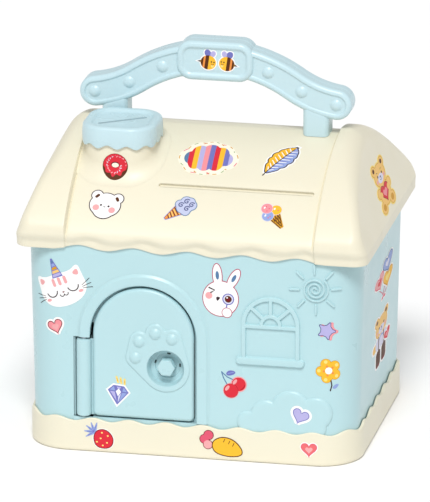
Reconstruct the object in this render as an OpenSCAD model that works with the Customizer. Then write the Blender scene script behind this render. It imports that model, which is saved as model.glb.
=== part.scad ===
// House-shaped coin bank with a locking front door and a carry handle.
// Origin: centre of the footprint on the table. +X is to the right of someone
// facing the door, -Y is the door side and +Z is up. Millimetres.

/* [House body] */
// Outside width of the body where it enters the base tray
body_low_w = 175.4; // [170:0.2:178]
// Outside width of the body at its top edge, under the roof
body_high_w = 180.4; // [178:0.2:184]
// Outside depth of the body, front wall to back wall
body_d = 144.2; // [140:0.2:146]
// Radius of the body's upright corners
body_corner_r = 20.5; // [14:0.5:24]
// Wall thickness of the body
wall = 2.2; // [1.6:0.1:2.6]
// Height of the body's top edge
body_top_z = 118; // [114:1:120]

/* [Base tray] */
// Width of the base tray
base_w = 180; // [178:0.5:184]
// Depth of the base tray
base_d = 148; // [147:0.5:150]
// Mean height of the wavy rim
rim_z = 18; // [16:0.5:20]
// Depth of one wave of the rim
rim_wave = 1.8; // [0:0.2:2.4]
// Thickness of the tray floor
floor_t = 3; // [2:0.5:4]

/* [Roof] */
// Width of the roof over both gables at the eave
roof_w = 189; // [186:0.5:192]
// Depth of the roof between the end bands
roof_d = 150.8; // [150:0.2:152]
// Height of the eave's lower edge
eave_z = 112; // [108:0.5:113]
// Radius of each convex slope
slope_r = 111.3; // [105:0.5:120]
// Height of the slopes' centre line
slope_zc = 51.8; // [48:0.2:56]
// Distance of each slope's centre line past the ridge
slope_yc = 11.6; // [8:0.2:14]
// Height of the raised bands at the two ends
band_rise = 3; // [1:0.5:4]
// Half length of the roof between the bands
band_x = 67; // [60:1:72]
// Wall thickness of the roof
roof_wall = 2.4; // [2:0.2:3]

/* [Chimney and slots] */
// Place of the chimney, left of the middle
chimney_x = -45.3; // [-47:0.5:-44]
// Place of the chimney, in front of the ridge
chimney_y = -28.8; // [-30:0.2:-28]
// Width of the square chimney
chimney_w = 37; // [34:0.5:38]
// Width of the cap
cap_w = 40.4; // [39:0.2:40.6]
// Height of the cap's top face
cap_top_z = 172.5; // [170:0.5:174]
// Length of the coin slot
coin_slot_l = 28; // [26:0.5:30]
// Length of the banknote slot
note_slot_l = 83.4; // [78:0.2:88]

/* [Door and lock] */
// Middle of the arched door
door_x = -25.2; // [-27:0.2:-24]
// Radius of the arched opening
door_r = 28.5; // [27:0.5:30]
// Height where the arch starts
arch_z = 65; // [60:0.5:68]
// Height of the door sill
sill_z = 19; // [19:0.2:20]
// Gap between the door and its opening
door_gap = 0.7; // [0.6:0.05:0.9]
// Left and right place of the lock spindle
lock_x = -13; // [-15:0.2:-12]
// Height of the lock spindle
lock_z = 49; // [46:0.5:52]
// Width across the flats of the hexagonal lock head
hex_af = 8.8; // [7:0.2:10]

/* [Handle] */
// Half distance between the handle posts
post_x = 54.5; // [52:0.5:56]
// Half width of the handle arms
arm_w = 8.3; // [7:0.1:9.5]
// Height of the arms' centre line at the middle
arm_z = 200.8; // [198:0.2:204]

/* [Hidden] */
$fn = 64;

blue = [0.72, 0.88, 0.91];
cream = [0.98, 0.95, 0.84];
steel = [0.75, 0.76, 0.78];
paper = [0.95, 0.55, 0.6];
eps = 0.01;
far = 400;

// Body and its walls
front_y = -body_d / 2;
inner_y = front_y + wall;
body_h = body_top_z - floor_t;
lean = (body_high_w - body_low_w) / 2 / body_h;
relief_t = 0.8;
relief_low_z = rim_z + rim_wave / 2 + 0.2;

// Fasteners: one self-tapping screw size throughout
screw_r = 1.5;
screw_hole_r = 1.55;
clear_hole_r = 1.75;
screw_head_r = 2.9;
screw_head_h = 1.6;
boss_r = 4.5;
corner_boss = [77.5, 61.5];
roof_boss = [77, 59.5];
lug_z = 108;
lug_t = 2.4;

// Base tray
tray_gap = 0.15;
wave_count_x = 9;
wave_count_y = 7;

// Roof
fascia_gap = 0.3;
band_proud = 1;
gable_z = 118;
gable_top_x = 77;
gable_top_z = 168;
roof_corner_r = 12;
eave_arches = 5;
eave_pitch = 29.3;
eave_arch_w = 25;
eave_wave = 2.4;

// Chimney
chimney_r = 12.5;
chimney_wall = 2;
cap_r = 14;
cap_low_z = 161.2;
coin_slot_w = 2.8;
coin_slot_turn = 34.5;
note_slot_w = 2.4;
note_slot_x = 20.6;
note_slot_y = -51;

// Door
hinge_x = -57.5;
hinge_y = -71;
barrel_r = 4.2;
barrel_low_z = 19.7;
barrel_high_z = 63.2;
barrel_gap = 0.5;
notch_left_x = -62.7;
notch_high_z = 63.6;
pin_r = 1.5;
pin_low_z = 12.6;
pin_high_z = 66.4;
frame_r = 35.5;
frame_y = -73;
lip_r = door_r - 1.3;
weld = 0.2;
hinge_lug = [9.2, 6, 6.8];
hinge_room = [11.6, 3, 20];
hinge_pocket = [12.5, 5.8];
pocket_wall = 2.2;
jamb_t = 2;
jamb_back_y = -65;
panel_r = door_r - door_gap;
panel_front_y = -72.8;
panel_back_y = -70.2;
lining_r = 26.6;
lining_back_y = -66.6;
lining_t = 1.6;

// Lock
well_r = 10;
cup_r = 11.8;
well_floor_y = -67.5;
cup_back_y = -65.5;
pad_front_y = -73.6;
spindle_r = 3;
square_w = 4.2;
hex_front_y = -72.4;
cam_front_y = -64.45;
cam_back_y = -62.45;
cam_reach = 21;
cam_w = 9;
washer_front_y = -65.4;
washer_back_y = -64.5;

// Handle
handle_t = 7;
plaque_t = 8;
plaque = [42.6, 21.8];
plaque_z = 199.8;
plaque_r = 8;
arm_r1 = 76;
arm_turn = 33.5;
arm_r2 = 56.9;
arm_end = 8;
arm_lap = 0.3;
post_w = 14;
post_d = 15;
post_low_z = 156;
arm_c1_z = arm_z - arm_r1;
arm_c2 = [(arm_r1 + arm_r2) * sin(arm_turn), arm_c1_z + (arm_r1 + arm_r2) * cos(arm_turn)];
arm_tip = [arm_c2[0] - arm_r2 * sin(arm_end), arm_c2[1] - arm_r2 * cos(arm_end)];
stud_x = [28.6, 46.7, 65.4];
stud_r = 3;
stud_h = 0.8;
shell = 2.2;
grip_screw_x = [28.6, 65.4];

// Stickers
sticker_t = 0.25;
sticker_gap = 0.03;

// ---------- helpers ----------

// Height of a slope's surface over a distance y from the ridge
function slope_z(y, grow = 0) = slope_zc + sqrt(pow(slope_r + grow, 2) - pow(abs(y) + slope_yc, 2));

// Tilt of the slope at y, in degrees
function slope_tilt(y) = asin((abs(y) + slope_yc) / slope_r);

// Half width of the body at a height
function side_x(z) = body_low_w / 2 + lean * (z - floor_t);

// Height of the handle arms' centre line
function arm_line(x) = abs(x) < arm_r1 * sin(arm_turn)
  ? arm_c1_z + sqrt(arm_r1 * arm_r1 - x * x)
  : arm_c2[1] - sqrt(arm_r2 * arm_r2 - pow(arm_c2[0] - abs(x), 2));

// Rectangle with rounded corners, centred
module rounded_rect(w, d, r) {
  square([w - 2 * r, d], center = true);
  square([w, d - 2 * r], center = true);
  for (sx = [-1, 1], sy = [-1, 1])
    translate([sx * (w / 2 - r), sy * (d / 2 - r)])
      circle(r);
}

// Extrude an outline drawn in X and Z between two Y planes
module along_y(y0, y1) {
  translate([0, y1, 0])
    rotate([90, 0, 0])
      linear_extrude(y1 - y0)
        children();
}

// Cylinder along Y
module rod_y(x, z, r, y0, y1) {
  along_y(y0, y1)
    translate([x, z])
      circle(r);
}

// Copies at the four corners
module at_corners(p) {
  for (sx = [-1, 1], sy = [-1, 1])
    translate([sx * p[0], sy * p[1], 0])
      children();
}

// Pan-head screw with its head under z = 0 and its shank going up
module screw(length) {
  translate([0, 0, -screw_head_h])
    cylinder(r = screw_head_r, h = screw_head_h);
  translate([0, 0, -eps])
    cylinder(r = screw_r, h = length);
}

// Outside or inside volume of the tapered body
module body_volume(inset) {
  grow = -2 * inset;
  hull() {
    translate([0, 0, floor_t])
      linear_extrude(0.1)
        rounded_rect(body_low_w + grow, body_d + grow, body_corner_r - inset);
    translate([0, 0, body_top_z - 0.1])
      linear_extrude(0.1)
        rounded_rect(body_high_w + grow, body_d + grow, body_corner_r - inset);
  }
}

// Arch outline: a half circle over straight sides down to z0
module arch(r, z0) {
  translate([door_x, arch_z])
    circle(r);
  translate([door_x - r, z0])
    square([2 * r, arch_z - z0]);
}

// Both slopes as one pointed vault
module vault(grow, half_x) {
  intersection_for(s = [-1, 1])
    translate([0, s * slope_yc, slope_zc])
      rotate([0, 90, 0])
        cylinder(r = slope_r + grow, h = 2 * half_x, center = true, $fn = 180);
}

// Column of the roof's plan, cut by the leaning gables
module roof_column(inset, depth) {
  intersection() {
    translate([0, 0, eave_z - (inset > 0 ? 1 : 0)])
      linear_extrude(70)
        rounded_rect(roof_w - 2 * inset, depth, roof_corner_r - inset);
    rotate([90, 0, 0])
      linear_extrude(far, center = true)
        polygon([
          [-roof_w / 2 + inset, eave_z - 2],
          [roof_w / 2 - inset, eave_z - 2],
          [roof_w / 2 - inset, gable_z],
          [gable_top_x - inset, gable_top_z],
          [-gable_top_x + inset, gable_top_z],
          [-roof_w / 2 + inset, gable_z]]);
  }
}

// Outside volume of the roof with its two raised end bands
module roof_outside() {
  intersection() {
    vault(0, roof_w);
    roof_column(0, roof_d);
  }
  intersection() {
    vault(band_rise, roof_w);
    roof_column(0, roof_d + 2 * band_proud);
    for (s = [-1, 1])
      translate([s * (band_x + 30), 0, 140])
        cube([60, far, 100], center = true);
  }
}

// Inside volume of the roof
module roof_inside() {
  intersection() {
    vault(-roof_wall, roof_w);
    roof_column(roof_wall, body_d + 2 * fascia_gap);
  }
}

// Place children on the front slope, their +Z along its normal
module on_slope(x, y, grow = 0) {
  translate([x, y, slope_z(y, grow)])
    rotate([slope_tilt(y), 0, 0])
      children();
}

// ---------- base ----------

module base_tray() {
  inner_w = 2 * (side_x(rim_z + rim_wave) + tray_gap);
  inner_d = body_d + 2 * tray_gap;
  scallop_r = 14;
  pitch_x = base_w / wave_count_x;
  pitch_y = base_d / (wave_count_y + 0.4);
  color(cream)
    difference() {
      linear_extrude(rim_z + rim_wave / 2)
        rounded_rect(base_w, base_d, body_corner_r + 2.7);
      translate([0, 0, floor_t])
        linear_extrude(far)
          rounded_rect(inner_w, inner_d, body_corner_r);
      // scallops of the rim, long sides and short sides
      for (i = [0:wave_count_x - 2])
        translate([(i - (wave_count_x - 2) / 2) * pitch_x, 0, rim_z - rim_wave / 2 + scallop_r])
          rotate([90, 0, 0])
            cylinder(r = scallop_r, h = far, center = true);
      for (i = [0:wave_count_y - 2])
        translate([0, (i - (wave_count_y - 2) / 2) * pitch_y, rim_z - rim_wave / 2 + scallop_r])
          rotate([0, 90, 0])
            cylinder(r = scallop_r, h = far, center = true);
      // room behind the rim for the lower hinge lug
      translate([notch_left_x - weld, frame_y - fascia_gap, rim_z - hinge_lug[2] - weld])
        cube(hinge_room);
      // screw holes with sunk heads
      at_corners(corner_boss) {
        translate([0, 0, -eps])
          cylinder(r = clear_hole_r, h = floor_t + 1);
        translate([0, 0, -eps])
          cylinder(r = screw_head_r + 0.3, h = screw_head_h + 0.2);
      }
    }
}

module base_screws() {
  color(steel)
    at_corners(corner_boss)
      translate([0, 0, screw_head_h + 0.15])
        screw(11);
}

// ---------- body ----------

// Window with a fan light over one pane and a sill, in X and Z
module window_relief() {
  middle = [43.5, 76.7];
  outer = 15.7;
  inner = 13.3;
  bar = 2.1;
  hub = 3.9;
  low_z = 57;
  sill_mid = 43.25;
  sill_half = 16.35;
  translate(middle) {
    difference() {
      union() {
        circle(outer);
        translate([-outer, low_z - middle[1]])
          square([2 * outer, middle[1] - low_z]);
      }
      circle(inner);
      translate([-inner, low_z - middle[1]])
        square([2 * inner, middle[1] - low_z]);
    }
    translate([-inner, -bar])
      square([2 * inner, bar]);
    // half-round hub and the three bars of the fan light
    difference() {
      circle(hub + bar);
      circle(hub);
      translate([-outer, -2 * outer])
        square(2 * outer);
    }
    for (a = [42, 90, 138])
      rotate(a)
        translate([hub + bar / 2, -bar / 2])
          square([inner - hub - bar / 4, bar]);
  }
  translate([sill_mid, low_z - bar / 4])
    rounded_rect(2 * sill_half + 2 * bar, 2 * bar, bar - eps);
}

// Sun: rings of the coil and eight rays, in X and Z
module sun_relief() {
  translate([67.3, 98]) {
    for (r = [2.2, 4.4, 6.6])
      difference() {
        circle(r);
        circle(r - 1.1);
      }
    for (i = [0:7])
      rotate(i * 45)
        translate([9.3, -0.6])
          square([4, 1.2]);
  }
}

// Bush at the foot of the wall, in X and Z
module bush_relief() {
  intersection() {
    union() {
      for (b = [[31.5, 22, 6], [41, 26.5, 8.2], [54.4, 30.6, 10.2], [68, 29, 8.8]])
        translate([b[0], b[1]])
          circle(b[2]);
      translate([30, relief_low_z])
        square([45, 8]);
    }
    translate([0, relief_low_z])
      square([100, 40]);
  }
}

// Door surround, jamb and hinge housing, before the openings are cut
module doorway() {
  along_y(frame_y, inner_y)
    arch(frame_r, relief_low_z);
  along_y(inner_y - weld, jamb_back_y)
    arch(lip_r + jamb_t, sill_z - jamb_t);
  // pocket behind the hinge barrel
  translate([notch_left_x - pocket_wall, inner_y - weld, sill_z - pocket_wall])
    cube([hinge_pocket[0], hinge_pocket[1], pin_high_z + pocket_wall - sill_z + pocket_wall]);
  // lower hinge lug
  translate([notch_left_x, frame_y, sill_z + weld - hinge_lug[2]])
    cube(hinge_lug);
}

// Openings of the doorway
module doorway_cuts() {
  along_y(frame_y - 1, inner_y)
    arch(door_r, sill_z);
  along_y(inner_y - eps, jamb_back_y + 1)
    arch(lip_r, sill_z + door_r - lip_r);
  // notch left of the barrel and room for the barrel to turn
  translate([notch_left_x, frame_y - 1, sill_z])
    cube([hinge_x - notch_left_x, hinge_y - frame_y + 1, notch_high_z - sill_z]);
  translate([hinge_x, frame_y - 1, sill_z])
    cube([door_x - door_r - hinge_x + weld, inner_y - frame_y + 1, notch_high_z - sill_z]);
  translate([hinge_x, hinge_y, sill_z])
    cylinder(r = barrel_r + barrel_gap, h = notch_high_z - sill_z);
  // bore of the hinge pin, open below
  translate([hinge_x, hinge_y, 0])
    cylinder(r = screw_hole_r, h = pin_high_z + weld);
}

module house_body() {
  color(blue)
    difference() {
      union() {
        difference() {
          union() {
            body_volume(0);
            intersection() {
              body_volume(-relief_t);
              along_y(front_y - 5, front_y + 15)
                union() {
                  window_relief();
                  sun_relief();
                  bush_relief();
                }
            }
          }
          body_volume(wall);
        }
        doorway();
        // bosses for the base screws
        at_corners(corner_boss)
          translate([0, 0, floor_t])
            cylinder(r = boss_r, h = 24);
        // corner lugs under the roof bosses
        intersection() {
          body_volume(0);
          at_corners(roof_boss)
            translate([0, 0, lug_z + lug_t / 2])
              cube([26, 26, lug_t], center = true);
        }
      }
      doorway_cuts();
      at_corners(corner_boss)
        translate([0, 0, floor_t - 1])
          cylinder(r = screw_hole_r, h = 14);
      at_corners(roof_boss)
        translate([0, 0, lug_z - 1])
          cylinder(r = clear_hole_r, h = lug_t + 2);
    }
}

// ---------- roof ----------

// Row of shallow arches along both eaves
module eave_cuts() {
  arch_r = (pow(eave_arch_w / 2, 2) + pow(eave_wave, 2)) / (2 * eave_wave);
  for (i = [0:eave_arches - 1])
    translate([(i - (eave_arches - 1) / 2) * eave_pitch, 0, eave_z + eave_wave - arch_r])
      rotate([90, 0, 0])
        cylinder(r = arch_r, h = far, center = true);
}

module roof_shell() {
  color(cream)
    difference() {
      union() {
        difference() {
          union() {
            roof_outside();
            translate([chimney_x, chimney_y, 130])
              linear_extrude(cap_low_z + 2.6 - 130)
                rounded_rect(chimney_w, chimney_w, chimney_r);
          }
          roof_inside();
        }
        // screw bosses over the body's lugs and under the handle posts
        intersection() {
          roof_outside();
          union() {
            at_corners(roof_boss)
              translate([0, 0, lug_z + lug_t + 0.1])
                cylinder(r = boss_r, h = 60);
            for (s = [-1, 1])
              translate([s * post_x, 0, 154])
                cylinder(r = boss_r, h = 20);
          }
        }
      }
      eave_cuts();
      translate([chimney_x, chimney_y, 120])
        linear_extrude(60)
          rounded_rect(chimney_w - 2 * chimney_wall, chimney_w - 2 * chimney_wall, chimney_r - chimney_wall);
      on_slope(note_slot_x, note_slot_y)
        cube([note_slot_l, note_slot_w, 20], center = true);
      at_corners(roof_boss)
        translate([0, 0, lug_z])
          cylinder(r = screw_hole_r, h = 14);
      for (s = [-1, 1])
        translate([s * post_x, 0, 140])
          cylinder(r = clear_hole_r, h = 40);
    }
}

module roof_screws() {
  color(steel)
    at_corners(roof_boss)
      translate([0, 0, lug_z])
        screw(12);
}

module chimney_cap() {
  inner = chimney_w + 0.4;
  rim = 5;
  color(blue)
    difference() {
      translate([chimney_x, chimney_y, cap_low_z])
        linear_extrude(cap_top_z - cap_low_z)
          rounded_rect(cap_w, cap_w, cap_r);
      // skirt over the chimney
      translate([chimney_x, chimney_y, cap_low_z - 1])
        linear_extrude(3.8)
          rounded_rect(inner, inner, chimney_r + 0.2);
      // hollow above the chimney's edge
      translate([chimney_x, chimney_y, cap_low_z])
        linear_extrude(cap_top_z - cap_low_z - 3.4)
          rounded_rect(chimney_w - 4, chimney_w - 4, chimney_r - 2);
      // sunk top with a raised rim
      translate([chimney_x, chimney_y, cap_top_z - 1.4])
        linear_extrude(5)
          rounded_rect(cap_w - 2 * rim, cap_w - 2 * rim, cap_r - rim);
      translate([chimney_x, chimney_y, cap_top_z])
        rotate(coin_slot_turn)
          cube([coin_slot_l, coin_slot_w, 20], center = true);
      // room over the ridge behind the chimney
      vault(0.3, roof_w);
      // drips of the lower edge
      for (i = [-1.5:1:1.5]) {
        translate([chimney_x + i * 10.4, chimney_y, cap_low_z - 4])
          rotate([90, 0, 0])
            cylinder(r = 5, h = far, center = true);
        translate([chimney_x, chimney_y + i * 10.4, cap_low_z - 4])
          rotate([0, 90, 0])
            cylinder(r = 5, h = far, center = true);
      }
    }
}

// ---------- handle ----------

// Sector of a ring about the origin between two directions, in degrees from +Y
module ring_sector(r, w, a0, a1) {
  reach = 2 * (r + w);
  intersection() {
    difference() {
      circle(r + w, $fn = 180);
      circle(r - w, $fn = 180);
    }
    polygon([
      [0, 0],
      [reach * sin(a0), reach * cos(a0)],
      [reach * sin(a1), reach * cos(a1)]]);
  }
}

// Outline of both arms in X and Z
module arms(w) {
  translate([0, arm_c1_z])
    ring_sector(arm_r1, w, -arm_turn - arm_lap, arm_turn + arm_lap);
  for (s = [0, 1])
    mirror([s, 0])
      union() {
        translate(arm_c2)
          ring_sector(arm_r2, w, 180 + arm_end, 180 + arm_turn);
        translate(arm_tip)
          circle(w);
      }
}

// Outline of the middle plaque
module plaque_outline(inset) {
  translate([0, plaque_z])
    rounded_rect(plaque[0] - 2 * inset, plaque[1] - 2 * inset, plaque_r - inset);
}

// Posts of the handle, cut to sit on the ridge
module posts(inset, low_z) {
  for (s = [-1, 1])
    translate([s * post_x, 0, low_z])
      linear_extrude(arm_line(post_x) - low_z)
        rounded_rect(post_w - 2 * inset, post_d - 2 * inset, 3 - inset);
}

module handle_front() {
  color(blue)
    difference() {
      union() {
        difference() {
          union() {
            along_y(-handle_t, 0)
              arms(arm_w);
            along_y(-plaque_t, 0)
              plaque_outline(0);
          }
          along_y(-handle_t + shell, 1)
            arms(arm_w - shell);
          along_y(-plaque_t + shell, 1)
            plaque_outline(shell);
        }
        posts(0, post_low_z);
        intersection() {
          along_y(-handle_t, 0)
            arms(arm_w);
          for (s = [-1, 1], x = grip_screw_x)
            rod_y(s * x, arm_line(x), boss_r, -handle_t, 0);
        }
        // decorative studs
        for (s = [-1, 1], x = stud_x)
          rod_y(s * x, arm_line(x), stud_r, -handle_t - stud_h, -handle_t + 1);
      }
      // shallow panel of the plaque
      along_y(-plaque_t - 1, -plaque_t + 0.8)
        plaque_outline(3.6);
      // back of the posts inside the back half
      along_y(0, 20)
        arms(arm_w + 0.1);
      for (s = [-1, 1], x = grip_screw_x)
        rod_y(s * x, arm_line(x), screw_hole_r, -handle_t + 1.6, 1);
      for (s = [-1, 1])
        translate([s * post_x, 0, 150])
          cylinder(r = screw_hole_r, h = 20);
      translate([0, 0, 0.06])
        vault(0, roof_w);
    }
}

module handle_back() {
  color(blue)
    difference() {
      union() {
        difference() {
          union() {
            along_y(0, handle_t)
              arms(arm_w);
            along_y(0, plaque_t)
              plaque_outline(0);
          }
          along_y(-1, handle_t - shell)
            arms(arm_w - shell);
          along_y(-1, plaque_t - shell)
            plaque_outline(shell);
        }
        intersection() {
          along_y(0, handle_t)
            arms(arm_w);
          for (s = [-1, 1], x = grip_screw_x)
            rod_y(s * x, arm_line(x), boss_r, 0, handle_t);
        }
      }
      for (s = [-1, 1], x = grip_screw_x) {
        rod_y(s * x, arm_line(x), clear_hole_r, -1, handle_t + 1);
        rod_y(s * x, arm_line(x), screw_head_r + 0.3, handle_t - 2.4, handle_t + 1);
      }
    }
}

module handle_screws() {
  color(steel)
    for (s = [-1, 1], x = grip_screw_x)
      translate([s * x, handle_t - 2.4, arm_line(x)])
        rotate([90, 0, 0])
          screw(9);
}

module handle_post_screws() {
  color(steel)
    for (s = [-1, 1])
      translate([s * post_x, 0, 154])
        screw(15);
}

// ---------- door ----------

module door_hinge_pin() {
  color(steel)
    translate([hinge_x, hinge_y, pin_low_z])
      cylinder(r = pin_r, h = pin_high_z - pin_low_z);
}

// Toe pads of the paw around the lock, in X and Z
toes = [[-29.2, 54], [-27.2, 63.2], [-18.5, 68], [-9.4, 65.5]];
paw_r = 13;
toe_r = 5.4;
dome_r = 3.2;
dome_h = 0.7;

// Places of the screws that hold the lining, in X and Z
lining_screws = [[-46, 30], [-4.4, 30], [-46, 66], [-25.2, 84]];
lining_boss_r = 3.4;

module door_panel() {
  color(blue)
    difference() {
      union() {
        along_y(panel_front_y, panel_back_y)
          arch(panel_r, sill_z + door_gap);
        // barrel and the web that joins it
        translate([hinge_x, hinge_y, barrel_low_z])
          cylinder(r = barrel_r, h = barrel_high_z - barrel_low_z);
        translate([hinge_x, panel_front_y, barrel_low_z])
          cube([6, panel_back_y - panel_front_y, barrel_high_z - barrel_low_z]);
        // paw plateau with its toes
        along_y(pad_front_y, panel_back_y)
          union() {
            translate([lock_x, lock_z])
              circle(paw_r);
            for (t = toes)
              translate(t)
                circle(toe_r);
            polygon(concat(toes, [[lock_x + 6, lock_z], [lock_x - 10, lock_z - 6]]));
          }
        for (t = toes)
          rod_y(t[0], t[1], dome_r, pad_front_y - dome_h, panel_back_y);
        // cup of the lock well
        rod_y(lock_x, lock_z, cup_r, pad_front_y, cup_back_y);
        for (p = lining_screws)
          rod_y(p[0], p[1], lining_boss_r, panel_back_y - weld / 2, lining_back_y - lining_t);
      }
      rod_y(lock_x, lock_z, well_r, pad_front_y - 2, well_floor_y);
      rod_y(lock_x, lock_z, spindle_r + 0.05, well_floor_y - 1, cup_back_y + 1);
      for (p = lining_screws)
        rod_y(p[0], p[1], screw_hole_r, panel_back_y - 0.6, lining_back_y);
      translate([hinge_x, hinge_y, barrel_low_z - 1])
        cylinder(r = pin_r + 0.05, h = barrel_high_z - barrel_low_z + 2);
    }
}

module door_lining() {
  low_z = sill_z + 2;
  color(blue)
    difference() {
      along_y(panel_back_y, lining_back_y)
        arch(lining_r, low_z);
      along_y(panel_back_y - 1, lining_back_y - lining_t)
        arch(lining_r - lining_t, low_z + lining_t);
      rod_y(lock_x, lock_z, cup_r + 0.3, panel_back_y - 1, lining_back_y + 1);
      for (p = lining_screws)
        rod_y(p[0], p[1], clear_hole_r, panel_back_y, lining_back_y + 1);
    }
}

module door_lining_screws() {
  color(steel)
    for (p = lining_screws)
      translate([p[0], lining_back_y, p[1]])
        rotate([90, 0, 0])
          screw(3.8);
}

// ---------- lock, drawn unlocked: the cam points up ----------

module lock_spindle() {
  color(blue)
    difference() {
      union() {
        along_y(hex_front_y, well_floor_y - 0.1)
          translate([lock_x, lock_z])
            circle(hex_af / 2 / cos(30), $fn = 6);
        rod_y(lock_x, lock_z, spindle_r, well_floor_y - 0.2, washer_back_y);
        along_y(washer_back_y - 0.1, cam_back_y - 0.1)
          translate([lock_x, lock_z])
            square(square_w, center = true);
      }
      rod_y(lock_x, lock_z, screw_hole_r, cam_back_y - 7, cam_back_y + 1);
    }
}

module lock_washer() {
  color(steel)
    difference() {
      rod_y(lock_x, lock_z, 6, washer_front_y, washer_back_y);
      rod_y(lock_x, lock_z, spindle_r + 0.05, washer_front_y - 1, washer_back_y + 1);
    }
}

module lock_cam() {
  color(steel)
    difference() {
      along_y(cam_front_y, cam_back_y)
        union() {
          translate([lock_x, lock_z])
            circle(6.5);
          translate([lock_x - cam_w / 2, lock_z])
            square([cam_w, cam_reach - cam_w / 2]);
          translate([lock_x, lock_z + cam_reach - cam_w / 2])
            circle(cam_w / 2);
        }
      along_y(cam_front_y - 1, cam_back_y + 1)
        translate([lock_x, lock_z])
          square(square_w + 0.1, center = true);
    }
}

module lock_screw() {
  color(steel)
    translate([lock_x, cam_back_y, lock_z])
      rotate([90, 0, 0])
        screw(6.5);
}

// ---------- stickers ----------

// Flat sticker on the front wall, outline in X and Z
module on_front(x, z, y = front_y) {
  translate([x, 0, z])
    along_y(y - sticker_gap - sticker_t, y - sticker_gap)
      children();
}

// Flat sticker on the right-hand wall, outline in Y and Z
module on_side(y, z) {
  tilt = atan(lean);
  translate([side_x(z) + sticker_gap, y, z])
    rotate([0, tilt, 0])
      rotate([90, 0, 90])
        linear_extrude(sticker_t)
          children();
}

// Sticker bent to the front slope
module bent_sticker(x, y) {
  intersection() {
    difference() {
      translate([0, slope_yc, slope_zc])
        rotate([0, 90, 0])
          cylinder(r = slope_r + sticker_gap + sticker_t, h = far, center = true, $fn = 180);
      translate([0, slope_yc, slope_zc])
        rotate([0, 90, 0])
          cylinder(r = slope_r + sticker_gap, h = far, center = true, $fn = 180);
    }
    on_slope(x, y)
      linear_extrude(20, center = true)
        children();
  }
}

// Five-pointed star outline
module star(r) {
  polygon([for (i = [0:9]) (i % 2 == 0 ? r : r * 0.55) * [sin(i * 36), cos(i * 36)]]);
}

// Outlines of the front wall's stickers, in X and Z
module front_wall_outlines() {
  translate([-70.5, 89])
    rounded_rect(26, 24, 9);
  translate([-73.2, 68.5])
    circle(4.6);
  translate([16.4, 93.5])
    rounded_rect(17, 26, 8);
  translate([21.5, 41.2])
    rounded_rect(13, 14, 5);
  translate([72.6, 76.1])
    star(6);
  translate([73.7, 51.2])
    rounded_rect(12.5, 18, 6);
}

// The front wall's stickers wrap round the corners of the body
module stickers_front_wall() {
  color(paper) {
    difference() {
      intersection() {
        body_volume(-sticker_gap - sticker_t);
        along_y(front_y - 2, front_y + body_corner_r)
          front_wall_outlines();
      }
      body_volume(-sticker_gap);
    }
    on_front(59.8, 27.6, front_y - relief_t)
      circle(5);
  }
}

module stickers_side_wall() {
  color(paper) {
    on_side(6, 81.5)
      rounded_rect(34, 22, 8);
    on_side(0.6, 48.2)
      rounded_rect(40, 29, 9);
  }
}

module stickers_door() {
  color(paper)
    on_front(-39.6, 32.5, panel_front_y)
      rounded_rect(12, 12, 4);
}

module stickers_roof_front() {
  color(paper) {
    bent_sticker(-47.3, -62.5)
      rounded_rect(18.6, 16, 7);
    bent_sticker(2.6, -31.8)
      rounded_rect(31, 20, 7);
    bent_sticker(39.6, -30.4)
      rotate(58)
        rounded_rect(25, 9, 4);
    bent_sticker(-6.8, -62.6)
      rotate(40)
        rounded_rect(19, 9, 4);
    bent_sticker(44, -63.4)
      rounded_rect(12.5, 15, 5);
  }
}

module stickers_roof_end() {
  gable_turn = atan((roof_w / 2 - gable_top_x) / (gable_top_z - gable_z));
  middle_z = 136;
  gable_x = roof_w / 2 - (middle_z - gable_z) * tan(gable_turn);
  color(paper)
    translate([gable_x, -3, middle_z])
      rotate([0, -gable_turn, 0])
        translate([sticker_gap, 0, 0])
          rotate([90, 0, 90])
            linear_extrude(sticker_t)
              rounded_rect(36, 26, 10);
}

module sticker_chimney() {
  color(paper)
    on_front(chimney_x, 154, chimney_y - chimney_w / 2)
      circle(6.6);
}

module stickers_base() {
  color(paper) {
    on_front(-47.9, 8.2, -base_d / 2)
      rounded_rect(14, 13.6, 5);
    on_front(17.6, 8, -base_d / 2)
      rounded_rect(22, 13.6, 5);
    on_front(62, 9, -base_d / 2)
      circle(4);
  }
}

module stickers_handle() {
  color(paper)
    for (s = [-1, 1])
      on_front(s * 5.4, plaque_z, -plaque_t + 0.8)
        rounded_rect(9, 9, 4);
}

base_tray();
base_screws();
house_body();
roof_shell();
roof_screws();
chimney_cap();
handle_front();
handle_back();
handle_screws();
handle_post_screws();
door_hinge_pin();
door_panel();
door_lining();
door_lining_screws();
lock_spindle();
lock_washer();
lock_cam();
lock_screw();
stickers_front_wall();
stickers_side_wall();
stickers_door();
stickers_roof_front();
stickers_roof_end();
sticker_chimney();
stickers_base();
stickers_handle();
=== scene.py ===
from math import acos, asin, atan2, cos, degrees, exp, hypot, pi, radians, sin, sqrt

import bmesh
import bpy
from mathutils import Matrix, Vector
from mathutils.geometry import delaunay_2d_cdt


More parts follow.
